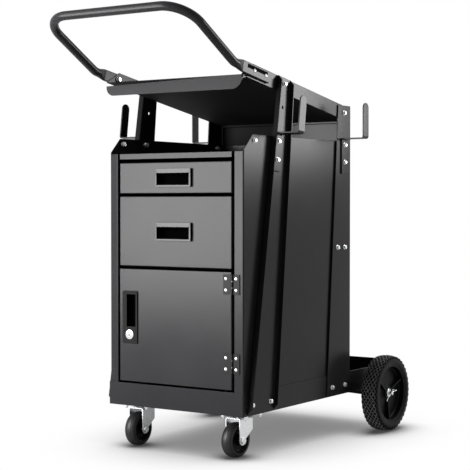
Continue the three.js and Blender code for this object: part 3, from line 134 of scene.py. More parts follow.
class Effects:
    """Shader node groups that several finishes share, each built once."""

    made: dict[str, bpy.types.NodeTree] = {}

    @classmethod
    def group(
        cls, name: str, inputs: Sequence[str], outputs: Sequence[str]
    ) -> tuple[bpy.types.NodeTree, bpy.types.Node, bpy.types.Node]:
        """Starts a group with a Vector input, float inputs and float outputs.

        Args:
            name: The group's name.
            inputs: Names of its float inputs.
            outputs: Names of its float outputs.

        Returns:
            The tree, its input node and its output node.
        """
        tree = bpy.data.node_groups.new(name, "ShaderNodeTree")
        tree.interface.new_socket("Vector", in_out="INPUT", socket_type="NodeSocketVector")
        for label in inputs:
            tree.interface.new_socket(label, in_out="INPUT", socket_type="NodeSocketFloat")
        for label in outputs:
            tree.interface.new_socket(label, in_out="OUTPUT", socket_type="NodeSocketFloat")
        cls.made[name] = tree
        return tree, tree.nodes.new("NodeGroupInput"), tree.nodes.new("NodeGroupOutput")

    @staticmethod
    def noise(tree: bpy.types.NodeTree, vector: object, scale: float, detail: float) -> bpy.types.Node:
        """Adds a noise texture.

        Args:
            tree: The tree it goes into.
            vector: The socket it reads its place from.
            scale: Its scale, per metre.
            detail: Its octaves.

        Returns:
            The noise node.
        """
        node = tree.nodes.new("ShaderNodeTexNoise")
        node.inputs["Scale"].default_value = scale
        node.inputs["Detail"].default_value = detail
        tree.links.new(vector, node.inputs["Vector"])
        return node

    @staticmethod
    def math(tree: bpy.types.NodeTree, operation: str, first: object, second: object) -> object:
        """Adds a math node on two sockets or numbers.

        Args:
            tree: The tree it goes into.
            operation: The math node's operation.
            first: A socket or a number.
            second: A socket or a number.

        Returns:
            Its output socket.
        """
        node = tree.nodes.new("ShaderNodeMath")
        node.operation = operation
        for socket, value in zip(node.inputs, (first, second)):
            if isinstance(value, (int, float)):
                socket.default_value = value
            else:
                tree.links.new(value, socket)
        return node.outputs[0]

    @classmethod
    def powder_peel(cls) -> bpy.types.NodeTree:
        """The fine orange peel of baked powder, with slow patches of thicker and thinner coat."""
        if "powder_peel" not in cls.made:
            tree, enter, leave = cls.group("powder_peel", ["Grain"], ["Height", "Patch"])
            scaled = tree.nodes.new("ShaderNodeVectorMath")
            scaled.operation = "SCALE"
            tree.links.new(enter.outputs["Vector"], scaled.inputs[0])
            tree.links.new(enter.outputs["Grain"], scaled.inputs["Scale"])
            peel = cls.noise(tree, scaled.outputs[0], 1.0, 1.5)
            fine = cls.noise(tree, scaled.outputs[0], 3.1, 1.0)
            patch = cls.noise(tree, enter.outputs["Vector"], 9.0, 3.0)
            height = cls.math(tree, "MULTIPLY", peel.outputs["Fac"], 0.7)
            grain = cls.math(tree, "MULTIPLY", fine.outputs["Fac"], 0.3)
            tree.links.new(cls.math(tree, "ADD", height, grain), leave.inputs["Height"])
            tree.links.new(patch.outputs["Fac"], leave.inputs["Patch"])
        return cls.made["powder_peel"]

    @classmethod
    def mould_stipple(cls) -> bpy.types.NodeTree:
        """The stipple that a spark-eroded mould leaves, with broad flow marks."""
        if "mould_stipple" not in cls.made:
            tree, enter, leave = cls.group("mould_stipple", ["Grain"], ["Height", "Patch"])
            cells = tree.nodes.new("ShaderNodeTexVoronoi")
            tree.links.new(enter.outputs["Vector"], cells.inputs["Vector"])
            tree.links.new(enter.outputs["Grain"], cells.inputs["Scale"])
            flow = cls.noise(tree, enter.outputs["Vector"], 30.0, 4.0)
            rough = cls.noise(tree, enter.outputs["Vector"], 900.0, 2.0)
            height = cls.math(tree, "MULTIPLY", cells.outputs["Distance"], rough.outputs["Fac"])
            tree.links.new(height, leave.inputs["Height"])
            tree.links.new(flow.outputs["Fac"], leave.inputs["Patch"])
        return cls.made["mould_stipple"]

    @classmethod
    def plate_bloom(cls) -> bpy.types.NodeTree:
        """The faint bloom of bright plating: small crystals under fine rolling lines."""
        if "plate_bloom" not in cls.made:
            tree, enter, leave = cls.group("plate_bloom", ["Grain"], ["Height", "Patch"])
            cells = tree.nodes.new("ShaderNodeTexVoronoi")
            tree.links.new(enter.outputs["Vector"], cells.inputs["Vector"])
            tree.links.new(enter.outputs["Grain"], cells.inputs["Scale"])
            lines = tree.nodes.new("ShaderNodeMapping")
            lines.inputs["Scale"].default_value = (1.0, 1.0, 0.06)
            tree.links.new(enter.outputs["Vector"], lines.inputs["Vector"])
            rolled = cls.noise(tree, lines.outputs["Vector"], 1800.0, 2.0)
            tree.links.new(rolled.outputs["Fac"], leave.inputs["Height"])
            mixed = cls.math(tree, "MULTIPLY", cells.outputs["Distance"], 1.4)
            tree.links.new(mixed, leave.inputs["Patch"])
        return cls.made["plate_bloom"]


@dataclass(frozen=True)
class Finish:
    """One finish: a Principled surface whose colour, gloss and relief vary over the piece, with painted shade and
    a painted highlight where face marks ask for them.
    """

    dark: tuple[float, float, float]
    light: tuple[float, float, float]
    gloss: tuple[float, float]
    grain: float
    relief: float
    depth: float
    metallic: float = 0.0
    specular: float = 0.5
    effect: Callable[[], bpy.types.NodeTree] = field(default=Effects.powder_peel)
    # Face attribute of painted shade: marked faces turn near black and duller, and above 0.9 also metallic, for
    # shade in recesses, under things and on sides turned from the light.
    cavity: str = ""
    # Face attribute of a painted highlight: marked faces are painted a lighter grey in place of the light they
    # catch.
    bloom: str = ""

    def build(self, name: str) -> bpy.types.Material:
        """Makes the material.

        Args:
            name: The material's name.

        Returns:
            The material, with its nodes linked.
        """
        material = bpy.data.materials.new(name)
        material.use_nodes = True
        tree = material.node_tree
        surface = tree.nodes["Principled BSDF"]
        surface.inputs["Metallic"].default_value = self.metallic
        surface.inputs["Specular IOR Level"].default_value = self.specular
        place = tree.nodes.new("ShaderNodeTexCoord")
        effect = tree.nodes.new("ShaderNodeGroup")
        effect.node_tree = self.effect()
        effect.inputs["Grain"].default_value = self.grain
        tree.links.new(place.outputs["Object"], effect.inputs["Vector"])
        shade = tree.nodes.new("ShaderNodeMix")
        shade.data_type = "RGBA"
        shade.inputs["A"].default_value = (*self.dark, 1)
        shade.inputs["B"].default_value = (*self.light, 1)
        tree.links.new(effect.outputs["Patch"], shade.inputs["Factor"])
        gloss = tree.nodes.new("ShaderNodeMapRange")
        gloss.inputs["To Min"].default_value = self.gloss[0]
        gloss.inputs["To Max"].default_value = self.gloss[1]
        tree.links.new(effect.outputs["Patch"], gloss.inputs["Value"])
        tone, dull = shade.outputs["Result"], gloss.outputs["Result"]
        # Painted shade: the mark darkens the colour to near black, raises the roughness and, above 0.9, makes the
        # face metallic.
        if self.cavity:
            depth = tree.nodes.new("ShaderNodeAttribute")
            depth.attribute_name = self.cavity
            painted_shade_mix = tree.nodes.new("ShaderNodeMix")
            painted_shade_mix.data_type = "RGBA"
            painted_shade_mix.inputs["B"].default_value = (0.0012, 0.0012, 0.0012, 1)
            tree.links.new(depth.outputs["Fac"], painted_shade_mix.inputs["Factor"])
            tree.links.new(tone, painted_shade_mix.inputs["A"])
            tone = painted_shade_mix.outputs["Result"]
            dull = Effects.math(tree, "MAXIMUM", dull, Effects.math(tree, "MULTIPLY", depth.outputs["Fac"], 0.95))
            painted_shade_metal = tree.nodes.new("ShaderNodeMapRange")
            painted_shade_metal.inputs["From Min"].default_value = 0.9
            painted_shade_metal.inputs["To Min"].default_value = self.metallic
            tree.links.new(depth.outputs["Fac"], painted_shade_metal.inputs["Value"])
            tree.links.new(painted_shade_metal.outputs["Result"], surface.inputs["Metallic"])
        # Painted highlight: marked faces take a lighter grey.
        if self.bloom:
            raised = tree.nodes.new("ShaderNodeAttribute")
            raised.attribute_name = self.bloom
            painted_highlight = tree.nodes.new("ShaderNodeMix")
            painted_highlight.data_type = "RGBA"
            painted_highlight.inputs["B"].default_value = (0.13, 0.13, 0.127, 1)
            tree.links.new(raised.outputs["Fac"], painted_highlight.inputs["Factor"])
            tree.links.new(tone, painted_highlight.inputs["A"])
            tone = painted_highlight.outputs["Result"]
        tree.links.new(tone, surface.inputs["Base Color"])
        tree.links.new(dull, surface.inputs["Roughness"])
        bump = tree.nodes.new("ShaderNodeBump")
        bump.inputs["Strength"].default_value = self.relief
        bump.inputs["Distance"].default_value = self.depth
        tree.links.new(effect.outputs["Height"], bump.inputs["Height"])
        tree.links.new(bump.outputs["Normal"], surface.inputs["Normal"])
        return material


# FRAME, PULL and CHROME take painted shade from their faces' mark; TYRE takes a painted highlight on its ridge
# tops.
FINISHES: dict[Slot, Finish] = {
    Slot.FRAME: Finish(
        (0.011, 0.011, 0.012), (0.015, 0.015, 0.016), (0.21, 0.29), 900, 0.04, 0.0004, specular=0.09,
        cavity="recess",
    ),
    Slot.FRONT: Finish(
        (0.012, 0.012, 0.013), (0.016, 0.016, 0.017), (0.21, 0.29), 900, 0.04, 0.0004, specular=0.10,
    ),
    Slot.PULL: Finish(
        (0.006, 0.006, 0.006), (0.010, 0.010, 0.010), (0.20, 0.28), 1400, 0.25, 0.0003, specular=0.17,
        effect=Effects.mould_stipple, cavity="recess",
    ),
    Slot.WHEEL: Finish(
        (0.003, 0.003, 0.003), (0.006, 0.006, 0.006), (0.32, 0.44), 1100, 0.25, 0.0003, specular=0.05,
        effect=Effects.mould_stipple,
    ),
    Slot.TYRE: Finish(
        (0.005, 0.005, 0.005), (0.010, 0.010, 0.010), (0.36, 0.48), 800, 0.30, 0.0004, specular=0.05,
        effect=Effects.mould_stipple, bloom="ridge",
    ),
    Slot.CASTER: Finish(
        (0.007, 0.007, 0.007), (0.012, 0.012, 0.012), (0.36, 0.48), 800, 0.25, 0.0004, specular=0.20,
        effect=Effects.mould_stipple,
    ),
    Slot.ZINC: Finish(
        (0.54, 0.55, 0.56), (0.68, 0.69, 0.70), (0.22, 0.34), 420, 0.06, 0.0002, metallic=1.0,
        effect=Effects.plate_bloom,
    ),
    Slot.CHROME: Finish(
        (0.74, 0.75, 0.76), (0.82, 0.83, 0.84), (0.08, 0.14), 500, 0.04, 0.0001, metallic=1.0,
        effect=Effects.plate_bloom, cavity="recess",
    ),
}


class Wardrobe:
    """Keeps one material per slot and dresses pieces in them."""

    def __init__(self) -> None:
        """Builds every finish once."""
        self.materials = {slot: finish.build(slot.value) for slot, finish in FINISHES.items()}
        self.dressed = 0

    def dress(
        self, piece: bpy.types.Object, slot: Slot, body: str, nodes: Iterable[str] = ()
    ) -> bpy.types.Object:
        """Gives a new piece its finish and its body.

        Args:
            piece: The piece, in place.
            slot: The finish it takes.
            body: The body it moves with.
            nodes: The nodes that it stands for.

        Returns:
            The same piece.
        """
        piece.data.materials.clear()
        piece.data.materials.append(self.materials[slot])
        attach(piece, body)
        if nodes:
            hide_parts(*nodes)
        self.dressed += 1
        log.info("%s: %s on %s, %d faces", piece.name, slot.value, body, len(piece.data.polygons))
        return piece

    def keep(self, node: str) -> None:
        """Leaves a node as it is and gives it its finish."""
        for part in frame["nodes"][node].material_slots:
            part.material = self.materials[NODE_SLOT[node]]
        log.info("%s: kept, %s", node, NODE_SLOT[node].value)


# ---------------------------------------------------------------------------
# Modelling steps
# ---------------------------------------------------------------------------


class Bench:
    """Modelling steps that the pieces share, done with Blender's own operators."""

    @staticmethod
    def clear() -> None:
        """Leaves edit mode and deselects everything."""
        if bpy.context.object and bpy.context.object.mode != "OBJECT":
            bpy.ops.object.mode_set(mode="OBJECT")
        bpy.ops.object.select_all(action="DESELECT")

    @staticmethod
    def hold(piece: bpy.types.Object) -> bpy.types.Object:
        """Makes a piece the only selected object and the active one."""
        Bench.clear()
        piece.select_set(True)
        bpy.context.view_layer.objects.active = piece
        return piece

    @staticmethod
    def edit(piece: bpy.types.Object, kind: str = "VERT") -> None:
        """Opens a piece in edit mode.

        Args:
            piece: The piece.
            kind: VERT, EDGE or FACE, the kind that is selected there.
        """
        Bench.hold(piece)
        bpy.context.tool_settings.mesh_select_mode = tuple(kind == k for k in ("VERT", "EDGE", "FACE"))
        bpy.ops.object.mode_set(mode="EDIT")

    @staticmethod
    def pick(piece: bpy.types.Object, kind: str, chosen: Iterable[int]) -> None:
        """Opens a piece in edit mode with only the given edges or faces selected.

        Args:
            piece: The piece.
            kind: EDGE or FACE.
            chosen: Their indices.
        """
        Bench.hold(piece)
        mesh = piece.data
        for parts in (mesh.vertices, mesh.edges, mesh.polygons):
            parts.foreach_set("select", [False] * len(parts))
        parts = mesh.edges if kind == "EDGE" else mesh.polygons
        for index in chosen:
            parts[index].select = True
            for vertex in parts[index].vertices:
                mesh.vertices[vertex].select = True
        Bench.edit(piece, kind)

    @staticmethod
    def close(piece: bpy.types.Object) -> bpy.types.Object:
        """Merges doubles, turns faces outwards and leaves edit mode."""
        Bench.edit(piece)
        bpy.ops.mesh.select_all(action="SELECT")
        bpy.ops.mesh.remove_doubles(threshold=1e-6)
        bpy.ops.mesh.normals_make_consistent(inside=False)
        bpy.ops.object.mode_set(mode="OBJECT")
        return piece

    @staticmethod
    def smooth(piece: bpy.types.Object, degrees: float = 50.0) -> bpy.types.Object:
        """Shades a piece smooth up to an angle, with flat faces kept flat.

        Args:
            piece: The piece.
            degrees: The angle past which an edge stays sharp.

        Returns:
            The same piece.
        """
        Bench.hold(piece)
        bpy.ops.object.shade_smooth_by_angle(angle=math.radians(degrees))
        bpy.ops.object.modifier_add(type="WEIGHTED_NORMAL")
        piece.modifiers[-1].keep_sharp = True
        bpy.ops.object.modifier_apply(modifier=piece.modifiers[-1].name)
        return piece

    @staticmethod
    def lathe(name: str, profile: Profile, steps: int = 48, ring: bool = True) -> bpy.types.Object:
        """Spins a profile about the z axis.

        Args:
            name: The piece's name.
            profile: Its corners as radius and height, in millimetres.
            steps: Steps round the turn.
            ring: True for a closed section clear of the axis, False for one that ends on it.

        Returns:
            The turned piece, about the origin.
        """
        Bench.clear()
        bpy.ops.mesh.primitive_circle_add(vertices=len(profile), radius=MM)
        piece = bpy.context.object
        piece.name = name
        for vertex, (radius, height) in zip(piece.data.vertices, profile):
            vertex.co = (radius * MM, 0, height * MM)
        if not ring:
            last = {0, len(profile) - 1}
            Bench.pick(piece, "EDGE", [e.index for e in piece.data.edges if set(e.vertices) == last])
            bpy.ops.mesh.delete(type="EDGE")
        Bench.edit(piece)
        bpy.ops.mesh.select_all(action="SELECT")
        bpy.ops.mesh.spin(steps=steps, angle=2 * math.pi, center=(0, 0, 0), axis=(0, 0, 1))
        return Bench.close(piece)

    @staticmethod
    def edges(mesh: bpy.types.Mesh, rule: EdgeRule) -> list[int]:
        """Finds edges by how sharply and how widely their faces meet.

        Args:
            mesh: The mesh.
            rule: Takes the turn in degrees, the narrower face's width and the edge's length, both in
                millimetres, and says whether the edge is wanted.

        Returns:
            The wanted edges' indices.
        """
        sides: dict[tuple[int, int], list[bpy.types.MeshPolygon]] = {}
        for face in mesh.polygons:
            for key in face.edge_keys:
                sides.setdefault(key, []).append(face)
        wanted = []
        for edge in mesh.edges:
            pair = sides.get(edge.key, [])
            start = mesh.vertices[edge.vertices[0]].co
            along = mesh.vertices[edge.vertices[1]].co - start
            if len(pair) != 2 or along.length < 1e-7:
                continue
            way = along.normalized()
            spans = []
            for face in pair:
                arms = [mesh.vertices[i].co - start for i in face.vertices]
                spans.append(max((arm - way * arm.dot(way)).length for arm in arms))
            turn = math.degrees(pair[0].normal.angle(pair[1].normal, 0.0))
            if rule(turn, min(spans) / MM, along.length / MM):
                wanted.append(edge.index)
        return wanted

    @staticmethod
    def bevel(piece: bpy.types.Object, rule: EdgeRule, width: float, segments: int) -> None:
        """Rounds the edges that a rule picks.

        Args:
            piece: The piece.
            rule: The rule of Bench.edges.
            width: The rounding's width, in millimetres.
            segments: Its segments.
        """
        chosen = Bench.edges(piece.data, rule)
        if not chosen:
            return
        Bench.pick(piece, "EDGE", chosen)
        bpy.ops.mesh.bevel(
            offset=width * MM, offset_type="OFFSET", segments=segments, affect="EDGES", clamp_overlap=False
        )
        bpy.ops.object.mode_set(mode="OBJECT")

    @staticmethod
    def formed(node: str, fold: float, edge: float) -> bpy.types.Object:
        """Copies a node and gives it the bend radii and eased edges of pressed sheet.

        Args:
            node: The node's name.
            fold: The radius of its folds, in millimetres, or 0 for none.
            edge: The easing of its cut edges, in millimetres.

        Returns:
            The formed copy, in the node's place.
        """
        piece = bpy.data.objects.new(f"{node}_formed", frame["nodes"][node].data.copy())
        bpy.context.scene.collection.objects.link(piece)
        Bench.edit(piece)
        bpy.ops.mesh.select_all(action="SELECT")
        bpy.ops.mesh.remove_doubles(threshold=1e-6)
        bpy.ops.mesh.dissolve_limited(angle_limit=math.radians(0.4))
        bpy.ops.mesh.vert_connect_concave()
        bpy.ops.object.mode_set(mode="OBJECT")
        if fold:
            Bench.bevel(piece, lambda turn, span, length: turn > 60 and span > 5 and length > 12, fold, 3)
        Bench.bevel(piece, lambda turn, span, length: turn > 40 and length > 0.9, edge, 2)
        return Bench.smooth(piece)

    @staticmethod
    def moved(piece: bpy.types.Object, matrix: Matrix) -> bpy.types.Object:
        """Puts a piece's place into its mesh, with its faces still outwards."""
        piece.data.transform(matrix)
        if matrix.determinant() < 0:
            piece.data.flip_normals()
        return piece

    @staticmethod
    def joined(pieces: Sequence[bpy.types.Object], name: str) -> bpy.types.Object:
        """Joins pieces into the first one.

        Args:
            pieces: The pieces.
            name: The joined piece's name.

        Returns:
            The joined piece.
        """
        Bench.hold(pieces[0])
        for piece in pieces[1:]:
            piece.select_set(True)
        if len(pieces) > 1:
            bpy.ops.object.join()
        pieces[0].name = name
        return pieces[0]

    @staticmethod
    def stamped(master: bpy.types.Object, name: str, places: Sequence[Matrix]) -> bpy.types.Object:
        """Copies a master to several places as one piece.

        Args:
            master: The piece that repeats, about the origin.
            name: The new piece's name.
            places: One matrix per copy.

        Returns:
            The piece that holds all copies.
        """
        copies = []
        for place in places:
            copy = bpy.data.objects.new(name, master.data.copy())
            bpy.context.scene.collection.objects.link(copy)
            copies.append(Bench.moved(copy, place))
        return Bench.joined(copies, name)

    @staticmethod
    def boolean(piece: bpy.types.Object, tool: bpy.types.Object, operation: str) -> bpy.types.Object:
        """Cuts or adds a tool with a boolean modifier and removes the tool.

        Args:
            piece: The piece.
            tool: The tool.
            operation: DIFFERENCE or UNION.

        Returns:
            The same piece.
        """
        Bench.hold(piece)
        bpy.ops.object.modifier_add(type="BOOLEAN")
        step = piece.modifiers[-1]
        step.operation = operation
        step.object = tool
        step.solver = "EXACT"
        bpy.ops.object.modifier_apply(modifier=step.name)
        bpy.data.objects.remove(tool)
        return piece

    @staticmethod
    def wire(name: str, route: Sequence[Vector], radius: float, sides: int = 10) -> bpy.types.Object:
        """Sweeps a round wire smoothly along a route.

        Args:
            name: The wire's name.
            route: The places it follows.
            radius: Its radius, in millimetres.
            sides: The sides of its section.

        Returns:
            The wire, in place.
        """
        Bench.clear()
        bpy.ops.curve.primitive_nurbs_path_add()
        path = bpy.context.object
        path.name = name
        curve = path.data
        curve.splines.clear()
        spline = curve.splines.new("NURBS")
        spline.points.add(len(route) - 1)
        for point, place in zip(spline.points, route):
            point.co = (*place, 1)
        spline.order_u = 3
        spline.use_endpoint_u = True
        curve.resolution_u = 4
        curve.dimensions = "3D"
        curve.bevel_depth = radius * MM
        curve.bevel_resolution = (sides - 4) // 2
        curve.use_fill_caps = True
        Bench.hold(path)
        bpy.ops.object.convert(target="MESH")
        return Bench.close(bpy.context.object)

    @staticmethod
    def bar(name: str, size: Sequence[float], matrix: Matrix, edge: float) -> bpy.types.Object:
        """Makes a bar with eased edges.

        Args:
            name: The bar's name.
            size: Its three lengths, in millimetres.
            matrix: Its place.
            edge: The easing of its edges, in millimetres.

        Returns:
            The bar, in place.
        """
        Bench.clear()
        bpy.ops.mesh.primitive_cube_add(size=1)
        piece = bpy.context.object
        piece.name = name
        piece.data.transform(Matrix.Diagonal((*[s * MM for s in size], 1)))
        Bench.edit(piece, "EDGE")
        bpy.ops.mesh.select_all(action="SELECT")
        bpy.ops.mesh.bevel(offset=edge * MM, offset_type="OFFSET", segments=3, affect="EDGES")
        bpy.ops.object.mode_set(mode="OBJECT")
        return Bench.moved(piece, matrix)


# ---------------------------------------------------------------------------
# Fasteners
# ---------------------------------------------------------------------------


@dataclass
class Fasteners:
    """Masters of the bolts, nuts and rivets, in millimetres, copied to where they sit."""

    bolt_across: float = 8.0
    bolt_height: float = 3.4
    flange: float = 5.6
    nut_across: float = 10.0
    nut_height: float = 4.6
    thread: float = 2.8
    thread_end: float = 10.0
    rivet: float = 3.6
    screw: float = 4.3

    def __post_init__(self) -> None:
        """Models each master once."""
        self.bolt = self._hexagon("bolt_master", self.bolt_across, self.bolt_height, self.flange)
        self.nut = self._hexagon("nut_master", self.nut_across, self.nut_height, self.nut_across * 0.6)
        self.dome = self._dome("rivet_master", self.rivet, 1.5)
        self.head = self._dome("screw_master", self.screw, 2.6)
        self.stud = self._stud()

    @staticmethod
    def _hexagon(name: str, across: float, height: float, flange: float) -> bpy.types.Object:
        """Models a hexagon head or nut on its flange.

        Args:
            name: The master's name.
            across: Its width across the flats.
            height: Its height over the flange.
            flange: The flange's radius.

        Returns:
            The master, with its foot at the origin.
        """
        Bench.clear()
        bpy.ops.mesh.primitive_cylinder_add(
            vertices=6, radius=across / math.sqrt(3) * MM, depth=height * MM, location=(0, 0, 0)
        )
        head = bpy.context.object
        head.data.transform(Matrix.Translation((0, 0, (height / 2 + 0.9) * MM)))
        top = [f.index for f in head.data.polygons if f.normal.z > 0.9]
        Bench.pick(head, "FACE", top)
        bpy.ops.mesh.inset(thickness=0.7 * MM, depth=0.5 * MM)
        bpy.ops.mesh.inset(thickness=0.8 * MM, depth=-0.25 * MM)
        bpy.ops.object.mode_set(mode="OBJECT")
        washer = Bench.lathe(
            f"{name}_flange",
            [(0, 0), (flange - 0.3, 0), (flange, 0.25), (flange - 0.2, 0.7), (flange - 1.2, 1.05), (0, 1.1)],
            24,
            ring=False,
        )
        return Bench.smooth(Bench.joined([washer, head], name), 35)

    @staticmethod
    def _dome(name: str, radius: float, height: float) -> bpy.types.Object:
        """Models a domed head.

        Args:
            name: The master's name.
            radius: Its radius.
            height: Its height.

        Returns:
            The master, with its foot at the origin.
        """
        arc = [(radius * math.cos(a), height * math.sin(a)) for a in (0.0, 0.25, 0.55, 0.9, 1.25)]
        return Bench.smooth(Bench.lathe(name, [*arc, (0, height)], 20, ring=False), 60)

    def _stud(self) -> bpy.types.Object:
        """Models a nut with the end of its bolt standing out of it.

        Returns:
            The master, with its foot at the origin.
        """
        nut = Bench.stamped(self.nut, "stud_nut", [Matrix.Identity(4)])
        r, end = self.thread, self.thread_end
        profile = [(0, 0), (r, 0)]
        height = self.nut_height
        while height < end - 1.2:
            profile += [(r, height), (r - 0.45, height + 0.5)]
            height += 1.0
        thread = Bench.lathe("stud_end", [*profile, (r - 0.5, end), (0, end)], 20, ring=False)
        return Bench.smooth(Bench.joined([nut, thread], "stud_master"), 35)

    def clear(self) -> None:
        """Removes the masters once every copy is made."""
        for master in (self.bolt, self.nut, self.dome, self.head, self.stud):
            bpy.data.objects.remove(master)


# ---------------------------------------------------------------------------
# Sub-assemblies
# ---------------------------------------------------------------------------


@dataclass
class SheetAssembly:
    """A sub-assembly of pressed sheets that keep their nodes' forms and gain bends and fasteners."""

    wardrobe: Wardrobe
    fasteners: Fasteners
    fold: float = 2.0
    edge: float = 0.35

    def form(self, node: str, fold: float | None = None, edge: float | None = None) -> bpy.types.Object:
        """Forms one sheet over its node and dresses it.

        Args:
            node: The node's name.
            fold: Its fold radius, or None for the assembly's.
            edge: Its edge easing, or None for the assembly's.

        Returns:
            The formed sheet.
        """
        fold = self.fold if fold is None else fold
        edge = self.edge if edge is None else edge
        piece = Bench.formed(node, fold, edge)
        return self.wardrobe.dress(piece, NODE_SLOT[node], NODE_BODY[node], [node])

    @staticmethod
    def recess(piece: bpy.types.Object, amount: Callable[[Vector, Vector], float]) -> bpy.types.Object:
        """Marks the faces that get painted shade: darker, duller and, at full mark, metallic black, in recesses,
        under things and on sides turned from the light.

        Args:
            piece: The piece, in place.
            amount: Takes a face's middle and normal and gives its mark, from 0 to 1.

        Returns:
            The same piece.
        """
        # Painted shade: each face's mark darkens and dulls it in its finish.
        marks = piece.data.attributes.new("recess", "FLOAT", "FACE")
        for face, mark in zip(piece.data.polygons, marks.data):
            mark.value = min(1.0, max(0.0, amount(face.center, face.normal)))
        return piece

    def fasten(
        self, master: bpy.types.Object, name: str, body: str, places: Sequence[tuple[Vector, Vector]]
    ) -> bpy.types.Object:
        """Sets copies of a fastener.

        Args:
            master: The fastener's master.
            name: The new piece's name.
            body: The body they ride on.
            places: The foot and the normal of each copy.

        Returns:
            One piece with all copies.
        """
        spots = [facing(place, normal, 17.0 * i) for i, (place, normal) in enumerate(places)]
        piece = Bench.stamped(master, name, spots)
        return self.wardrobe.dress(piece, Slot.ZINC, body)


@dataclass
class Cabinet(SheetAssembly):
    """The pan, the cabinet's sheets and its inner runners."""

    panel_face: float = 178.2
    upstand_face: float = 174.9
    back_lift: float = 2.6
    back_slope: float = math.radians(9.46)
    back_spread: float = 3.2
    side_top: float = 690.0
    springback: tuple[float, float] = (math.radians(7.0), math.radians(1.0))
    # Place across the cart up to which the back panel's front carries painted shade; the panel is cut there.
    dull_to: float = 0.0
    shelf_bolt: tuple[float, float] = (45.0, 675.0)
    inner_nuts: tuple[tuple[float, float], ...] = ((45.0, 675.0), (127.5, 676.0), (417.8, 678.0))

    def build(self) -> None:
        """Forms the sheets and sets the shelf bolts and their nuts."""
        self.form("base_pan", 2.4)
        for side in Side:
            panel = self.form(f"side_panel_{side.label}", 0.0)
            self._spring(panel, self.springback[side.value > 0])
            Bench.smooth(panel)
            # Painted shade on the side panels' inner faces.
            self.recess(panel, lambda middle, normal: 0.7 if normal.dot(side.outward) < -0.7 else 0.0)
            for level in ("upper", "lower"):
                self.form(f"{level}_runner_{side.label}", 1.0)
        # Painted shade on the divider's forward faces and on every shelf face not turned forward.
        self.recess(self.form("cabinet_divider", 0.8), lambda middle, normal: float(normal.y < -0.7))
        self.recess(self.form("storage_shelf", 0.8), lambda middle, normal: 0.7 if normal.y > -0.7 else 0.0)
        back = self.form("back_panel", 0.8)
        self._meet_tray(back)
        Bench.smooth(back)
        # Painted shade on the back panel's forward faces left of the cart's middle.
        self.recess(
            back, lambda middle, normal: 0.75 if normal.y < -0.7 and middle.x < self.dull_to * MM else 0.0
        )
        bolts, nuts = [], []
        for side in Side:
            y, z = self.shelf_bolt
            bolts.append((at(side.value * self.panel_face, y, z), side.outward))
            for y, z in self.inner_nuts:
                nuts.append((at(side.value * self.upstand_face, y, z), -side.outward))
        self.fasten(self.fasteners.bolt, "shelf_bolts", "cart", bolts)
        self.fasten(self.fasteners.nut, "shelf_nuts", "cart", nuts)

    @staticmethod
    def _spring(panel: bpy.types.Object, turn: float) -> None:
        """Opens a side panel's front flange a little, as a press leaves it.

        Args:
            panel: The formed side panel.
            turn: How far it springs back.
        """
        front = min(v.co.y for v in panel.data.vertices)
        inside = min(abs(v.co.x) for v in panel.data.vertices)
        for vertex in panel.data.vertices:
            if vertex.co.y < front + 3 * MM:
                vertex.co.y += (abs(vertex.co.x) - inside) * math.tan(turn)

    def _meet_tray(self, panel: bpy.types.Object) -> None:
        """Draws the back panel's top up to the tray's floor and its upper sides out to the posts.

        Args:
            panel: The formed back panel.
        """
        top = max(v.co.z for v in panel.data.vertices)
        front = min(v.co.y for v in panel.data.vertices)
        for vertex in panel.data.vertices:
            if vertex.co.z > top - MM:
                vertex.co.z += max(0.0, self.back_lift * MM - (vertex.co.y - front) * math.tan(self.back_slope))
        Bench.edit(panel)
        bpy.ops.mesh.select_all(action="SELECT")
        bpy.ops.mesh.bisect(plane_co=at(0, 0, self.side_top), plane_no=(0, 0, 1))
        bpy.ops.mesh.select_all(action="SELECT")
        # Cuts the panel where its painted shade ends.
        bpy.ops.mesh.bisect(plane_co=at(self.dull_to, 0, 0), plane_no=(1, 0, 0))
        bpy.ops.object.mode_set(mode="OBJECT")
        for side in Side:
            edge = [
                f.index
                for f in panel.data.polygons
                if f.center.z > self.side_top * MM and f.normal.dot(side.outward) > 0.7
            ]
            Bench.pick(panel, "FACE", edge)
            bpy.ops.transform.translate(value=side.outward * self.back_spread * MM)
            bpy.ops.object.mode_set(mode="OBJECT")


@dataclass
class Drawers(SheetAssembly):
    """The two drawers with their cup pulls."""

    fold: float = 1.8
    mouth_left: float = 4.6
    mouth_right: float = 3.2
    mouth_low: float = 3.4

    def build(self) -> None:
        """Forms each drawer and its pull."""
        for level in ("upper", "lower"):
            self.form(f"{level}_drawer_box")
            self._frame(self.form(f"{level}_drawer_pull", 0.9, 0.5))

    def _frame(self, pull: bpy.types.Object) -> None:
        """Brings a pull's frame forward to its hood, opens its mouth and marks painted shade on its mouth and far
        side.

        Args:
            pull: The formed pull.
        """
        points = [v.co for v in pull.data.vertices]
        low = Vector(min(p[k] for p in points) for k in range(3))
        high = Vector(max(p[k] for p in points) for k in range(3))
        middle = (low + high) / 2
        plate = min(p.y for p in points if p.x < low.x + MM)
        for place in points:
            inside = min(place.x - low.x, high.x - place.x, place.z - low.z)
            if abs(place.y - plate) > 0.8 * MM:
                continue
            place.y += low.y - plate
            if inside > 6.5 * MM and place.z < high.z - 9 * MM:
                place.x += (self.mouth_right if place.x > middle.x else -self.mouth_left) * MM
                place.z -= self.mouth_low * MM if place.z < middle.z else 0.0

        def mark(centre: Vector, normal: Vector) -> float:
            """Gives a face's painted shade mark: growing with its depth, full on the walls of the mouth and the
            far side.
            """
            wall = low.x + 2 * MM < centre.x < high.x - 2 * MM and low.z + 2 * MM < centre.z < high.z - 7 * MM
            if normal.x > 0.7 or (wall and normal.y > -0.8):
                return 1.0
            return ((centre.y - low.y) / MM - 3.0) / 3.0

        # Painted shade in the pull's mouth and on its far side.
        self.recess(Bench.smooth(pull), mark)


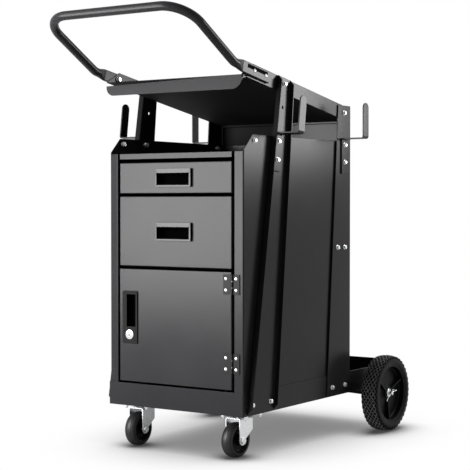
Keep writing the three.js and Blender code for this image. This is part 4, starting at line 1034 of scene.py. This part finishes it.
@dataclass
class Door(SheetAssembly):
    """The door with its pull, cam lock and riveted hinges."""

    fold: float = 1.8
    hinge_x: float = 151.85
    door_rivets: float = -16.5
    stile_rivets: float = 9.2
    hinge_rise: float = 12.0
    hinge_middles: tuple[float, float] = (372.2, 205.6)
    leaf_face: float = 0.0
    # Mark of the door pull's forward faces: darker and duller.
    plate_dull: float = 0.82
    key_reach: float = 4.8
    # Mark of the hinge leaves' forward faces: darker and duller; their other faces take full painted shade.
    hinge_dull: float = 0.46
    # Depth over which the pull cup's painted shade grows to full.
    cup_depth: float = 4.0
    bezel: float = 11.0
    barrel: float = 9.0
    bore: float = 6.3

    def build(self) -> None:
        """Forms the door, its pull, the lock and the hinges."""
        self.form("door_panel")
        pull = self.form("door_pull", 0.9, 0.5)
        front = min(v.co.y for v in pull.data.vertices)
        # Painted shade in the pull's cup, growing with depth, and full on faces not turned forward; forward faces
        # are at least darker and duller by their own mark.
        self.recess(
            pull,
            lambda middle, normal: max(
                self.plate_dull if normal.y < -0.7 else 1.0, ((middle.y - front) / MM - 1.5) / self.cup_depth
            ),
        )
        self._lock()
        for level in ("upper", "lower"):
            for leaf in ("door", "stile"):
                plate = self.form(f"{level}_hinge_{leaf}_leaf", 0.0, 0.25)
                # Hinge leaves: forward faces darker and duller by their mark, other faces full painted shade.
                self.recess(plate, lambda middle, normal: self.hinge_dull if normal.y < -0.7 else 1.0)
            self._pin(f"{level}_hinge_pin")
        for body, reach in (("door", self.door_rivets), ("cart", self.stile_rivets)):
            spots = [
                (at(self.hinge_x + reach, self.leaf_face, middle + rise), Vector((0, -1, 0)))
                for middle in self.hinge_middles
                for rise in (-self.hinge_rise, self.hinge_rise)
            ]
            self.fasten(self.fasteners.dome, f"hinge_rivets_{body}", body, spots)

    def _lock(self) -> None:
        """Turns the lock's bezel and forms its plug and cam."""
        low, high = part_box("lock_body")
        middle = (low + high) / 2
        depth = (high.y - low.y) / MM
        r, b, o = self.bezel, self.barrel, self.bore
        profile = [
            (o, 0), (o, depth - 0.6), (o + 0.5, depth), (r - 2.2, depth), (r - 0.8, depth - 0.5),
            (r - 0.1, depth - 1.3), (r, depth - 2.4), (b, depth - 2.4), (b, 0.4), (b - 0.4, 0),
        ]
        piece = Bench.lathe("lock_bezel", profile, 48)
        Bench.moved(piece, facing(Vector((middle.x, high.y, middle.z)), Vector((0, -1, 0))))
        self.wardrobe.dress(Bench.smooth(piece), Slot.CHROME, "door", ["lock_body"])
        plug = self.form("lock_plug", 0.0, 0.3)
        face = min(v.co.y for v in plug.data.vertices)
        # Painted shade inside the keyway, within its reach of the lock's middle.
        self.recess(
            plug,
            lambda spot, normal: float(
                spot.y > face + 0.2 * MM and (spot - middle).xz.length < self.key_reach * MM
            ),
        )
        self.form("lock_cam", 0.0, 0.3)

    def _pin(self, node: str) -> None:
        """Turns a hinge pin with rounded ends over its node."""
        low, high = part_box(node)
        middle = (low + high) / 2
        length = (high.z - low.z) / MM
        radius = (high.x - low.x) / MM / 2
        profile = [
            (0, 0), (radius * 0.7, 0.15), (radius, 0.6), (radius, length - 0.6),
            (radius * 0.7, length - 0.15), (0, length),
        ]
        piece = Bench.lathe(f"{node}_turned", profile, 20, ring=False)
        Bench.moved(piece, Matrix.Translation((middle.x, middle.y, low.z)))
        self.wardrobe.dress(Bench.smooth(piece), NODE_SLOT[node], NODE_BODY[node], [node])


@dataclass
class Uprights(SheetAssembly):
    """The posts, the cable hooks, the bottle rest and the bolts through them."""

    post_face: float = 182.8
    hook_face: float = 186.1
    tray_inside: float = 178.5
    post_bolts: tuple[tuple[float, float], ...] = (
        (29.5, 118.0), (101.0, 118.0), (157.0, 801.0), (366.5, 117.0), (426.5, 117.0),
        (391.0, 440.0), (424.0, 440.0), (420.0, 753.0),
    )
    hook_bolts: tuple[tuple[float, float], ...] = (
        (127.5, 676.0), (123.5, 636.0), (417.8, 678.0), (417.8, 638.0),
    )
    tray_nuts: tuple[tuple[float, float], ...] = ((157.0, 801.0), (420.0, 753.0))

    def build(self) -> None:
        """Forms the uprights and sets their bolts and nuts."""
        for side in Side:
            post = self.form(f"front_post_{side.label}", 2.6)
            # Painted shade on the front posts' forward-facing faces.
            self.recess(post, lambda middle, normal: 0.85 if normal.y < -0.6 else 0.0)
            self.form(f"rear_post_{side.label}", 0.0, 0.5)
            for end in ("front", "rear"):
                self.form(f"cable_hook_{end}_{side.label}", 0.0, 0.5)
            face = [(at(side.value * self.post_face, y, z), side.outward) for y, z in self.post_bolts]
            hook = [(at(side.value * self.hook_face, y, z), side.outward) for y, z in self.hook_bolts]
            tray = [(at(side.value * self.tray_inside, y, z), -side.outward) for y, z in self.tray_nuts]
            self.fasten(self.fasteners.bolt, f"post_bolts_{side.label}", "cart", face)
            self.fasten(self.fasteners.bolt, f"hook_bolts_{side.label}", "cart", hook)
            self.fasten(self.fasteners.nut, f"tray_nuts_{side.label}", "cart", tray)
        self.form("bottle_rest", 0.0)


@dataclass
class Tray(SheetAssembly):
    """The sloping tray and the push handle on its flanges."""

    slope: float = math.radians(9.46)
    front: float = 5.0
    height: float = 809.8
    flange: float = 31.2
    tube: float = 19.0
    flat: float = 6.0
    tab: float = 95.0
    lead: float = 5.0
    swell: float = 26.0
    run: float = 170.0
    rise: float = 98.0
    corner: float = 62.0
    knee: float = 45.0
    groove: float = 8.5
    groove_rise: float = 4.8
    groove_depth: float = 1.8
    notch: float = 28.0
    handle_x: float = 183.3
    flange_inside: float = 178.5
    ring: int = 24
    screws: tuple[float, float] = (36.0, 80.0)

    def build(self) -> None:
        """Forms the tray and bends the handle."""
        tray = self.form("top_tray", 2.2)
        self._set_back(tray)
        Bench.smooth(tray)
        # Painted shade on the tray's underside.
        self.recess(tray, lambda middle, normal: 0.8 if normal.z < -0.5 else 0.0)
        handle = self._tube()
        for side in Side:
            handle = Bench.boolean(handle, self._slot(side), "DIFFERENCE")
        Bench.smooth(handle, 40)
        face = self.handle_x + self.flat / 2
        floor, start = (face - self.groove_depth) * MM, at(0, 0, 0).y
        # Painted shade on the floor of the groove along each handle tab.
        self.recess(
            handle,
            lambda middle, normal: float(
                abs(abs(middle.x) - floor) < 0.3 * MM and abs(normal.x) > 0.9 and middle.y > start
            ),
        )
        self.wardrobe.dress(handle, Slot.FRAME, "cart", ["push_handle"])
        heads, nuts = [], []
        for side in Side:
            for along in self.screws:
                place = self._beside(along)
                heads.append((at(side.value * face, place.y, place.z), side.outward))
                nuts.append((at(side.value * self.flange_inside, place.y, place.z), -side.outward))
        self.fasten(self.fasteners.head, "handle_screws", "cart", heads)
        self.fasten(self.fasteners.nut, "handle_nuts", "cart", nuts)

    def _beside(self, along: float) -> Vector:
        """A place on the tube's middle line beside the right flange.

        Args:
            along: Millimetres down the flange from the tray's front.

        Returns:
            The place in the cart's millimetres.
        """
        up = self.flange / 2
        c, s = math.cos(self.slope), math.sin(self.slope)
        return Vector((self.handle_x, -self.front + along * c + up * s, self.height - along * s + up * c))

    @staticmethod
    def _arc(before: Vector, corner: Vector, after: Vector, radius: float, steps: int) -> list[Vector]:
        """Rounds one corner of a route.

        Args:
            before: The corner before.
            corner: The corner that is rounded.
            after: The corner after.
            radius: The bend's radius.
            steps: Steps along the bend.

        Returns:
            Points along the bend.
        """
        into, out = (corner - before).normalized(), (after - corner).normalized()
        turn = into.angle(out)
        start = corner - into * radius * math.tan(turn / 2)
        inward = (out - into * out.dot(into)).normalized()
        angles = [turn * k / steps for k in range(steps + 1)]
        return [start + into * radius * math.sin(a) + inward * radius * (1 - math.cos(a)) for a in angles]

    def _stations(self) -> list[tuple[Vector, float]]:
        """The right half of the tube's route.

        Returns:
            Places with how flat the tube is pressed there, from its tab to the middle of the bar.
        """
        swell_end = -self.lead - self.swell
        turn = math.atan2(self.rise, self.run) - self.slope
        knee = self._beside(swell_end - self.knee * math.tan(turn / 2))
        corner = knee + Vector((0, -self.run, self.rise))
        middle = Vector((0, corner.y, corner.z))
        tab = [(self._beside(a), 1.0) for a in (self.tab, self.tab - 1, self.tab * 0.6, self.tab * 0.3)]
        steps = 10
        for k in range(steps + 1):
            share = k / steps
            press = 1 - share * share * (3 - 2 * share)
            tab.append((self._beside(-self.lead - self.swell * share), press))
        bends = self._arc(self._beside(0), knee, corner, self.knee, 8)[1:]
        bends += self._arc(knee, corner, middle, self.corner, 16)
        return [*tab, *[(place, 0.0) for place in bends], (middle, 0.0)]

    def _tube(self) -> bpy.types.Object:
        """Sweeps the tube along its route and presses its ends flat, with the same girth.

        Returns:
            The handle, in place.
        """
        right = self._stations()
        left = [(Vector((-p.x, p.y, p.z)), press) for p, press in reversed(right[:-1])]
        route = right + left
        Bench.clear()
        bpy.ops.curve.primitive_nurbs_path_add()
        path = bpy.context.object
        path.name = "push_handle_tube"
        curve = path.data
        curve.splines.clear()
        spline = curve.splines.new("POLY")
        spline.points.add(len(route) - 1)
        for point, (place, _) in zip(spline.points, route):
            point.co = (*at(*place), 1)
        curve.dimensions = "3D"
        curve.bevel_depth = self.tube / 2 * MM
        curve.bevel_resolution = (self.ring - 4) // 2
        curve.use_fill_caps = True
        Bench.hold(path)
        bpy.ops.object.convert(target="MESH")
        handle = bpy.context.object
        self._press(handle, route)
        return Bench.close(handle)

    def _press(self, handle: bpy.types.Object, route: Sequence[tuple[Vector, float]]) -> None:
        """Presses the tube's ends flat.

        Args:
            handle: The round tube.
            route: Its places and how flat it is at each.
        """
        middles = [(at(*place), press) for place, press in route if press > 0]
        across = Vector((1, 0, 0))
        tall = Vector((0, math.sin(self.slope), math.cos(self.slope)))
        girth = self.tube / 2 * MM
        thin = self.flat / 2 * MM
        wide = thin + math.pi * (girth - thin) / 2
        heading = tall.cross(across)
        for vertex in handle.data.vertices:
            near, press = min(middles, key=lambda m: (vertex.co - m[0]).length_squared)
            arm = vertex.co - near
            if abs(arm.dot(heading)) > 0.4 * MM or arm.length > girth * 1.05:
                continue
            half_thin = girth + (thin - girth) * press
            half_wide = girth + (wide - girth) * press
            u, v = arm.dot(across) / girth, arm.dot(tall) / girth
            lift = math.copysign(half_wide - half_thin, v) if abs(v) > 0.02 else 0.0
            vertex.co = near + across * u * half_thin + tall * (v * half_thin + lift)

    def _slot(self, side: Side) -> bpy.types.Object:
        """A tool for the groove along a tab.

        Args:
            side: The tab's side.

        Returns:
            The tool, in place.
        """
        long = self.tab - 2 * self.groove
        middle = self._beside(self.tab / 2)
        middle += Vector((0, math.sin(self.slope), math.cos(self.slope))) * self.groove_rise
        face = self.handle_x + self.flat / 2
        place = at(side.value * (face - self.groove_depth + self.flat / 2), middle.y, middle.z)
        matrix = Matrix.Translation(place) @ Matrix.Rotation(-self.slope, 4, "X")
        return Bench.bar("groove_tool", (self.flat, long, self.groove), matrix, 1.2)

    def _set_back(self, tray: bpy.types.Object) -> None:
        """Sets the flanges' front ends back behind the tray's front corners.

        Args:
            tray: The formed tray.
        """
        corner = at(0, -self.front, self.height)
        down = Vector((0, math.cos(self.slope), -math.sin(self.slope)))
        up = Vector((0, math.sin(self.slope), math.cos(self.slope)))
        for vertex in tray.data.vertices:
            arm = vertex.co - corner
            outside = abs(vertex.co.x) > self.flange_inside * MM - 0.1 * MM
            if outside and arm.dot(up) > 4 * MM and arm.dot(down) < 10 * MM:
                vertex.co += down * self.notch * MM


@dataclass
class RearWheel:
    """A rear wheel: a tyre with a lattice tread on a dished and ribbed rim."""

    wardrobe: Wardrobe
    side: Side
    columns: int = 40
    rim_steps: int = 72
    ridge: float = 1.9
    cell_slope: float = 0.6
    cell_depth: float = 2.6
    hub: float = 16.0
    ribs: int = 3
    rib_turn: float = 27.0
    rib_thick: float = 5.0
    tread: Profile = (
        (80.0, -20.2), (87.2, -18.4), (89.2, -9.2), (89.8, 0.0), (89.2, 9.2), (87.2, 18.4), (80.0, 20.2),
    )
    wall: Profile = (
        (78.2, 20.5), (73.4, 20.4), (71.6, 19.9), (71.0, 18.9), (69.0, 18.6), (67.4, 17.8),
    )

    def build(self) -> None:
        """Models the tyre and the rim and sets them on the axle."""
        low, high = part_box(f"rear_tyre_{self.side.label}")
        place = facing((low + high) / 2, self.side.outward, 0.0)
        body = f"rear_wheel_{self.side.label}"
        tyre = Bench.moved(self._tyre(), place)
        self.wardrobe.dress(tyre, Slot.TYRE, body, [f"rear_tyre_{self.side.label}"])
        rim = Bench.moved(self._rim(), place)
        self.wardrobe.dress(rim, Slot.WHEEL, body, [f"rear_rim_{self.side.label}"])

    def _tyre(self) -> bpy.types.Object:
        """Spins the tyre and sinks a lattice of cells between the ridges of its tread.

        Returns:
            The tyre about the z axis.
        """
        inner = [(radius, -out) for radius, out in reversed(self.wall)]
        piece = Bench.lathe(
            f"rear_tyre_{self.side.label}_treaded", [*inner, *self.tread, *self.wall], self.columns
        )
        edge = self.tread[0][0] * MM * math.cos(math.pi / self.columns) * 0.985
        reach = self.tread[-1][1] * MM
        band = [
            f.index
            for f in piece.data.polygons
            if f.center.xy.length > edge and abs(f.center.z) < reach * 0.98
        ]
        before = len(piece.data.vertices)
        Bench.pick(piece, "FACE", band)
        bpy.ops.mesh.poke()
        bpy.ops.object.mode_set(mode="OBJECT")
        mesh = piece.data
        grid = [
            e.index
            for e in mesh.edges
            if max(e.vertices) < before
            and all(mesh.vertices[v].co.xy.length > edge for v in e.vertices)
            and abs(sum(mesh.vertices[v].co.z for v in e.vertices)) / 2 < reach * 0.98
        ]
        Bench.pick(piece, "EDGE", grid)
        bpy.ops.mesh.dissolve_edges(use_verts=False)
        bpy.ops.object.mode_set(mode="OBJECT")
        cells = [
            f.index
            for f in piece.data.polygons
            if len(f.vertices) == 4 and f.center.xy.length > edge and abs(f.center.z) < reach * 0.98
        ]
        Bench.pick(piece, "FACE", cells)
        bpy.ops.mesh.inset(thickness=self.ridge / 2 * MM, depth=0, use_individual=True)
        bpy.ops.mesh.inset(
            thickness=self.cell_slope * MM, depth=-self.cell_depth * MM, use_individual=True
        )
        bpy.ops.object.mode_set(mode="OBJECT")
        Bench.close(piece)
        Bench.smooth(piece, 32)
        # Marks the tread's ridge tops for a painted highlight.
        marks = piece.data.attributes.new("ridge", "FLOAT", "FACE")
        shoulder = self.tread[-2][1]
        for face, mark in zip(piece.data.polygons, marks.data):
            out, radius = face.center.z / MM, face.center.xy.length / MM
            mark.value = float(abs(out) < shoulder and self._crown(out) - radius < 0.7)
        return piece

    def _crown(self, out: float) -> float:
        """The tread's radius at a distance from the tyre's middle plane, both in millimetres."""
        for (inner, start), (outer, end) in zip(self.tread, self.tread[1:]):
            if start <= out <= end:
                return inner + (outer - inner) * (out - start) / (end - start)
        return math.inf

    def _rim(self) -> bpy.types.Object:
        """Spins the dished rim and adds the ribs on its outer side.

        Returns:
            The rim about the z axis.
        """
        hub = self.hub
        outer = [
            (67.0, 17.0), (66.4, 17.9), (64.6, 17.9), (63.3, 17.0), (62.9, 15.5), (62.6, 5.5), (60.6, 3.0),
            (56.0, 2.5), (24.0, 2.5), (hub + 2, 3.0), (hub, 4.6), (hub, 7.3), (hub - 0.8, 8.0), (5.4, 8.0),
        ]
        inner = [
            (5.4, -21.0), (hub - 0.8, -21.0), (hub, -20.2), (hub, -4.6), (hub + 2, -3.0), (24.0, -2.5),
            (56.0, -2.5), (60.6, -3.0), (62.6, -5.5), (62.9, -15.5), (63.3, -17.0), (64.6, -17.9),
            (66.4, -17.9), (67.0, -17.0),
        ]
        piece = Bench.lathe(f"rear_rim_{self.side.label}_moulded", [*inner, *outer], self.rim_steps)
        for k in range(self.ribs):
            turn = math.radians(self.rib_turn + 360 / self.ribs * k)
            piece = Bench.boolean(piece, self._rib(turn), "UNION")
        return Bench.smooth(piece, 35)

    def _rib(self, turn: float) -> bpy.types.Object:
        """Models a rib that climbs from the hub to the rim.

        Args:
            turn: Its place round the axle.

        Returns:
            The rib about the z axis.
        """
        start, end = self.hub - 1.5, 63.6
        length = end - start
        Bench.clear()
        bpy.ops.mesh.primitive_cube_add(size=1)
        rib = bpy.context.object
        rib.data.transform(Matrix.Diagonal((length * MM, self.rib_thick * MM, 8 * MM, 1)))
        rib.data.transform(Matrix.Translation(((start + length / 2) * MM, 0, 4 * MM)))
        for vertex in rib.data.vertices:
            if vertex.co.z > 4 * MM:
                vertex.co.z = (7.6 if vertex.co.x < 30 * MM else 14.0) * MM
                vertex.co.y *= 0.8
        Bench.bevel(rib, lambda angle, span, size: angle > 60, 0.7, 2)
        return Bench.moved(rib, Matrix.Rotation(self._angle(turn), 4, "Z"))

    def _angle(self, turn: float) -> float:
        """A turn about the wheel's outward axis for a turn from rearwards to upwards."""
        return math.pi / 2 + turn * self.side.value


@dataclass
class Axle(SheetAssembly):
    """The rear axle with its brackets, spacers, washers and split pins."""

    pin_turn: float = math.radians(15)
    wire: float = 1.7
    eye: float = 5.0
    eye_at: float = 18.0

    def build(self) -> None:
        """Turns the rod, sleeves and washers and forms the brackets and pins."""
        low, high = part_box("rear_axle")
        middle = (low + high) / 2
        half = (high.x - low.x) / MM / 2
        radius = (high.y - low.y) / MM / 2
        ends = [(0, -half), (radius - 1, -half), (radius, -half + 1), (radius, half - 1), (radius - 1, half)]
        rod = Bench.lathe("rear_axle_turned", [*ends, (0, half)], 32, ring=False)
        Bench.moved(rod, facing(middle, Vector((1, 0, 0))))
        self.wardrobe.dress(Bench.smooth(rod), Slot.ZINC, "cart", ["rear_axle"])
        for side in Side:
            self.form(f"axle_bracket_{side.label}", 1.5)
            self._sleeve(f"axle_spacer_{side.label}", radius)
            self._sleeve(f"axle_washer_{side.label}", radius)
            self._pin(side, middle)

    def _pin(self, side: Side, axle: Vector) -> None:
        """Bends a split pin out of wire, with its eye behind the axle and its tails spread in front.

        Args:
            side: The pin's side.
            axle: The middle of the axle.
        """
        low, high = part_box(f"split_pin_{side.label}")
        hole = Vector(((low.x + high.x) / 2, axle.y, axle.z))
        along = Vector((0, math.cos(self.pin_turn), math.sin(self.pin_turn)))
        over = Vector((0, -math.sin(self.pin_turn), math.cos(self.pin_turn)))
        half = self.wire / 2
        turns = [math.radians(a) for a in range(-140, 141, 28)]
        ring = [(self.eye_at + self.eye * math.cos(a), self.eye * math.sin(a), 0.0) for a in turns]
        upper = [(-18, -half, 9), (-13, -half, 4.5), (-8.5, -half, 0.8), (-4, -half, 0), (9, -half, 0)]
        lower = [(9, half, 0), (-4, half, 0), (-9, half, -0.8), (-16, half, -4), (-27, half, -10.5)]
        route = [hole + (along * a + Vector((x, 0, 0)) + over * b) * MM for a, x, b in [*upper, *ring, *lower]]
        pin = Bench.wire(f"split_pin_{side.label}_bent", route, self.wire / 2)
        self.wardrobe.dress(Bench.smooth(pin), Slot.ZINC, NODE_BODY[f"split_pin_{side.label}"], [f"split_pin_{side.label}"])

    def _sleeve(self, node: str, bore: float) -> None:
        """Turns a spacer or washer over its node.

        Args:
            node: The node's name.
            bore: The axle's radius.
        """
        low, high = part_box(node)
        half = (high.x - low.x) / MM / 2
        outer = (high.y - low.y) / MM / 2
        ease = min(0.5, half / 2)
        profile = [
            (bore + 0.3, -half), (outer - ease, -half), (outer, -half + ease), (outer, half - ease),
            (outer - ease, half), (bore + 0.3, half),
        ]
        piece = Bench.lathe(f"{node}_turned", profile, 40)
        Bench.moved(piece, facing((low + high) / 2, Vector((1, 0, 0))))
        self.wardrobe.dress(Bench.smooth(piece, 40), Slot.ZINC, NODE_BODY[node], [node])


@dataclass
class Caster(SheetAssembly):
    """A swivel caster: plate, pressed fork, axle bolt, hub and round-shouldered tyre."""

    side: Side = Side.RIGHT
    swivel_x: float = 132.0
    swivel_y: float = 66.0
    bolt_square: float = 28.0
    plate_foot: float = 92.8
    pan_floor: float = 97.1
    tyre_half: float = 13.5
    tyre_seat: float = 25.3
    tyre_radius: float = 38.0
    groove_at: float = 5.5
    groove: float = 0.5

    def build(self) -> None:
        """Forms the fork and plate and spins the wheel."""
        label = self.side.label
        self.form(f"caster_plate_{label}", 0.0, 0.4)
        self.form(f"caster_fork_{label}", 0.0, 0.45)
        self.form(f"caster_axle_{label}", 0.0, 0.4)
        low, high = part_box(f"caster_tyre_{label}")
        place = facing((low + high) / 2, JOINT_AXIS[f"caster_roll_{label}"])
        body = f"caster_wheel_{label}"
        tyre = Bench.moved(Bench.lathe(f"caster_tyre_{label}_round", self._section(), 64), place)
        self.wardrobe.dress(Bench.smooth(tyre, 60), Slot.CASTER, body, [f"caster_tyre_{label}"])
        hub = Bench.moved(self._hub(), place)
        self.wardrobe.dress(hub, Slot.WHEEL, body, [f"caster_hub_{label}"])
        self._plate_bolts()

    def _section(self) -> list[tuple[float, float]]:
        """The tyre's round section, with a fine groove either side of its crown.

        Returns:
            Its corners as radius and height.
        """
        rise = self.tyre_radius - self.tyre_seat
        section = []
        for k in range(-10, 11):
            angle = math.pi / 2 * k / 10.2
            out = self.tyre_half * math.sin(angle)
            section.append((self.tyre_seat + rise * math.sqrt(math.cos(angle)), out))
        for side in (-1, 1):
            out = side * self.groove_at
            lift = math.sqrt(math.sqrt(1 - (out / self.tyre_half) ** 2))
            radius = self.tyre_seat + rise * lift
            for shift, drop in ((-0.7, 0.0), (0.0, self.groove), (0.7, 0.0)):
                section.append((radius - drop, out + shift))
        return sorted(section, key=lambda corner: corner[1])

    def _hub(self) -> bpy.types.Object:
        """Spins the hub with its webs and rim.

        Returns:
            The hub about the z axis.
        """
        outer = [
            (25.0, 10.4), (24.4, 11.0), (23.0, 11.0), (22.5, 10.4), (22.2, 6.8), (20.8, 5.7), (13.0, 5.5),
            (11.4, 6.4), (11.0, 8.0), (11.0, 16.5), (10.4, 17.2), (4.8, 17.2),
        ]
        inner = [(r, -out) for r, out in reversed(outer)]
        piece = Bench.lathe(f"caster_hub_{self.side.label}_moulded", [*inner, *outer], 48)
        return Bench.smooth(piece, 40)

    def _plate_bolts(self) -> None:
        """Sets the four bolts through the pan with their nuts under the plate."""
        heads, nuts = [], []
        for dx in (-self.bolt_square, self.bolt_square):
            for dy in (-self.bolt_square, self.bolt_square):
                x, y = self.side.value * self.swivel_x + dx, self.swivel_y + dy
                heads.append((at(x, y, self.pan_floor), Vector((0, 0, 1))))
                nuts.append((at(x, y, self.plate_foot), Vector((0, 0, -1))))
        self.fasten(self.fasteners.bolt, f"caster_bolts_{self.side.label}", "cart", heads)
        self.fasten(self.fasteners.stud, f"caster_nuts_{self.side.label}", "cart", nuts)


# ---------------------------------------------------------------------------
# Studio
# ---------------------------------------------------------------------------


@dataclass(frozen=True)
class Lamp:
    """A soft box: its middle and aim in the cart's millimetres, its size in metres and its power."""

    name: str
    place: tuple[float, float, float]
    aim: tuple[float, float, float]
    size: tuple[float, float]
    power: float

    def build(self) -> None:
        """Hangs the lamp."""
        data = bpy.data.lights.new(self.name, "AREA")
        data.shape = "RECTANGLE"
        data.size, data.size_y = self.size
        data.energy = self.power
        lamp = bpy.data.objects.new(self.name, data)
        lamp.location = at(*self.place)
        lamp.rotation_euler = (at(*self.aim) - at(*self.place)).to_track_quat("-Z", "Y").to_euler()
        bpy.context.scene.collection.objects.link(lamp)


@dataclass
class Studio:
    """A pale floor, a white room and soft boxes, seen at the photograph's angle."""

    camera_place: tuple[float, float, float] = (1716.1, -2321.6, 544.1)
    camera_way: tuple[float, float, float] = (-0.55692, 0.83023, -0.02425)
    lens: float = 102.68
    floor_size: float = 16.0
    floor_shade: float = 0.80
    # Painted shadows, each as reach, start, end and least: ambient occlusion darkens the floor's emitted white
    # under the cart and at the wheels' contacts.
    shadow: tuple[float, float, float, float] = (0.30, 0.12, 0.96, 0.23)
    contact: tuple[float, float, float, float] = (0.08, 0.50, 1.0, 0.25)
    horizon: float = 0.12
    zenith: float = 0.30
    lamps: tuple[Lamp, ...] = (
        Lamp("front_box", (-870, -1500, 700), (0, 50, 560), (1.1, 1.02), 89.0),
        Lamp("upper_box", (-1000, -1565, 1700), (0, 50, 560), (1.1, 0.6), 17.0),
        Lamp("side_box", (1000, 1250, 905), (180, 250, 640), (0.5, 0.45), 12.0),
    )

    def build(self) -> None:
        """Sets up the room, the floor, the lamps and the camera."""
        bpy.context.scene.view_settings.view_transform = "Standard"
        self._camera()
        self._floor()
        self._room()
        for lamp in self.lamps:
            lamp.build()

    def _camera(self) -> None:
        """Stands the camera where the photograph was taken from."""
        data = bpy.data.cameras.new("photo_camera")
        data.sensor_width = 36
        data.lens = self.lens
        camera = bpy.data.objects.new("photo_camera", data)
        camera.location = at(*self.camera_place)
        camera.rotation_euler = Vector(self.camera_way).to_track_quat("-Z", "Y").to_euler()
        bpy.context.scene.collection.objects.link(camera)
        bpy.context.scene.camera = camera

    def _floor(self) -> None:
        """Lays the floor, which shows white outside the soft shadow under the cart; that shadow and the darker
        contacts are painted into its emitted white by ambient occlusion.
        """
        Bench.clear()
        bpy.ops.mesh.primitive_plane_add(size=self.floor_size)
        floor = bpy.context.object
        floor.name = "studio_floor"
        material = bpy.data.materials.new("studio_floor")
        material.use_nodes = True
        floor.data.materials.append(material)
        tree = material.node_tree
        nodes, links = tree.nodes, tree.links
        surface = nodes["Principled BSDF"]
        surface.inputs["Base Color"].default_value = (*[self.floor_shade] * 3, 1)
        surface.inputs["Roughness"].default_value = 0.7
        surface.inputs["Specular IOR Level"].default_value = 0.2
        shades = []
        for reach, start, end, least in (self.shadow, self.contact):
            cover = nodes.new("ShaderNodeAmbientOcclusion")
            cover.samples = 16
            cover.inputs["Distance"].default_value = reach
            grade = nodes.new("ShaderNodeMapRange")
            grade.interpolation_type = "SMOOTHSTEP"
            grade.inputs["From Min"].default_value = start
            grade.inputs["From Max"].default_value = end
            grade.inputs["To Min"].default_value = least
            links.new(cover.outputs["AO"], grade.inputs["Value"])
            shades.append(grade.outputs["Result"])
        # Painted shadow: the white that camera and reflections see is darkened by the occlusion grades.
        seen = nodes.new("ShaderNodeEmission")
        links.new(Effects.math(tree, "MULTIPLY", *shades), seen.inputs["Strength"])
        rays = nodes.new("ShaderNodeLightPath")
        glance = Effects.math(tree, "MAXIMUM", rays.outputs["Is Camera Ray"], rays.outputs["Is Transmission Ray"])
        glance = Effects.math(tree, "MAXIMUM", glance, rays.outputs["Is Glossy Ray"])
        whole = nodes.new("ShaderNodeMixShader")
        links.new(glance, whole.inputs[0])
        links.new(surface.outputs[0], whole.inputs[1])
        links.new(seen.outputs[0], whole.inputs[2])
        links.new(whole.outputs[0], nodes["Material Output"].inputs["Surface"])

    def _room(self) -> None:
        """Makes the room white to the camera and softly graded to the cart."""
        world = bpy.data.worlds.new("studio_room")
        bpy.context.scene.world = world
        world.use_nodes = True
        tree = world.node_tree
        nodes, links = tree.nodes, tree.links
        white = nodes["Background"]
        white.inputs["Color"].default_value = (1, 1, 1, 1)
        white.inputs["Strength"].default_value = 1.0
        room = nodes.new("ShaderNodeBackground")
        way = nodes.new("ShaderNodeTexCoord")
        split = nodes.new("ShaderNodeSeparateXYZ")
        links.new(way.outputs["Generated"], split.inputs[0])
        grade = nodes.new("ShaderNodeMapRange")
        grade.inputs["From Min"].default_value = 0.0
        grade.inputs["From Max"].default_value = 0.8
        grade.inputs["To Min"].default_value = self.horizon
        grade.inputs["To Max"].default_value = self.zenith
        links.new(split.outputs["Z"], grade.inputs["Value"])
        links.new(grade.outputs["Result"], room.inputs["Strength"])
        rays = nodes.new("ShaderNodeLightPath")
        glance = Effects.math(tree, "MAXIMUM", rays.outputs["Is Camera Ray"], rays.outputs["Is Transmission Ray"])
        glance = Effects.math(tree, "MAXIMUM", glance, rays.outputs["Is Glossy Ray"])
        mixed = nodes.new("ShaderNodeMixShader")
        links.new(glance, mixed.inputs[0])
        links.new(room.outputs[0], mixed.inputs[1])
        links.new(white.outputs[0], mixed.inputs[2])
        links.new(mixed.outputs[0], nodes["World Output"].inputs["Surface"])


def main() -> None:
    """Builds the studio and every sub-assembly in order."""
    Studio().build()
    wardrobe = Wardrobe()
    fasteners = Fasteners()
    Cabinet(wardrobe, fasteners).build()
    Drawers(wardrobe, fasteners).build()
    Door(wardrobe, fasteners).build()
    Uprights(wardrobe, fasteners).build()
    Tray(wardrobe, fasteners).build()
    for side in Side:
        Caster(wardrobe, fasteners, side=side).build()
        RearWheel(wardrobe, side).build()
    Axle(wardrobe, fasteners).build()
    fasteners.clear()
    log.info("%d pieces dressed", wardrobe.dressed)


if __name__ == "__main__":
    main()
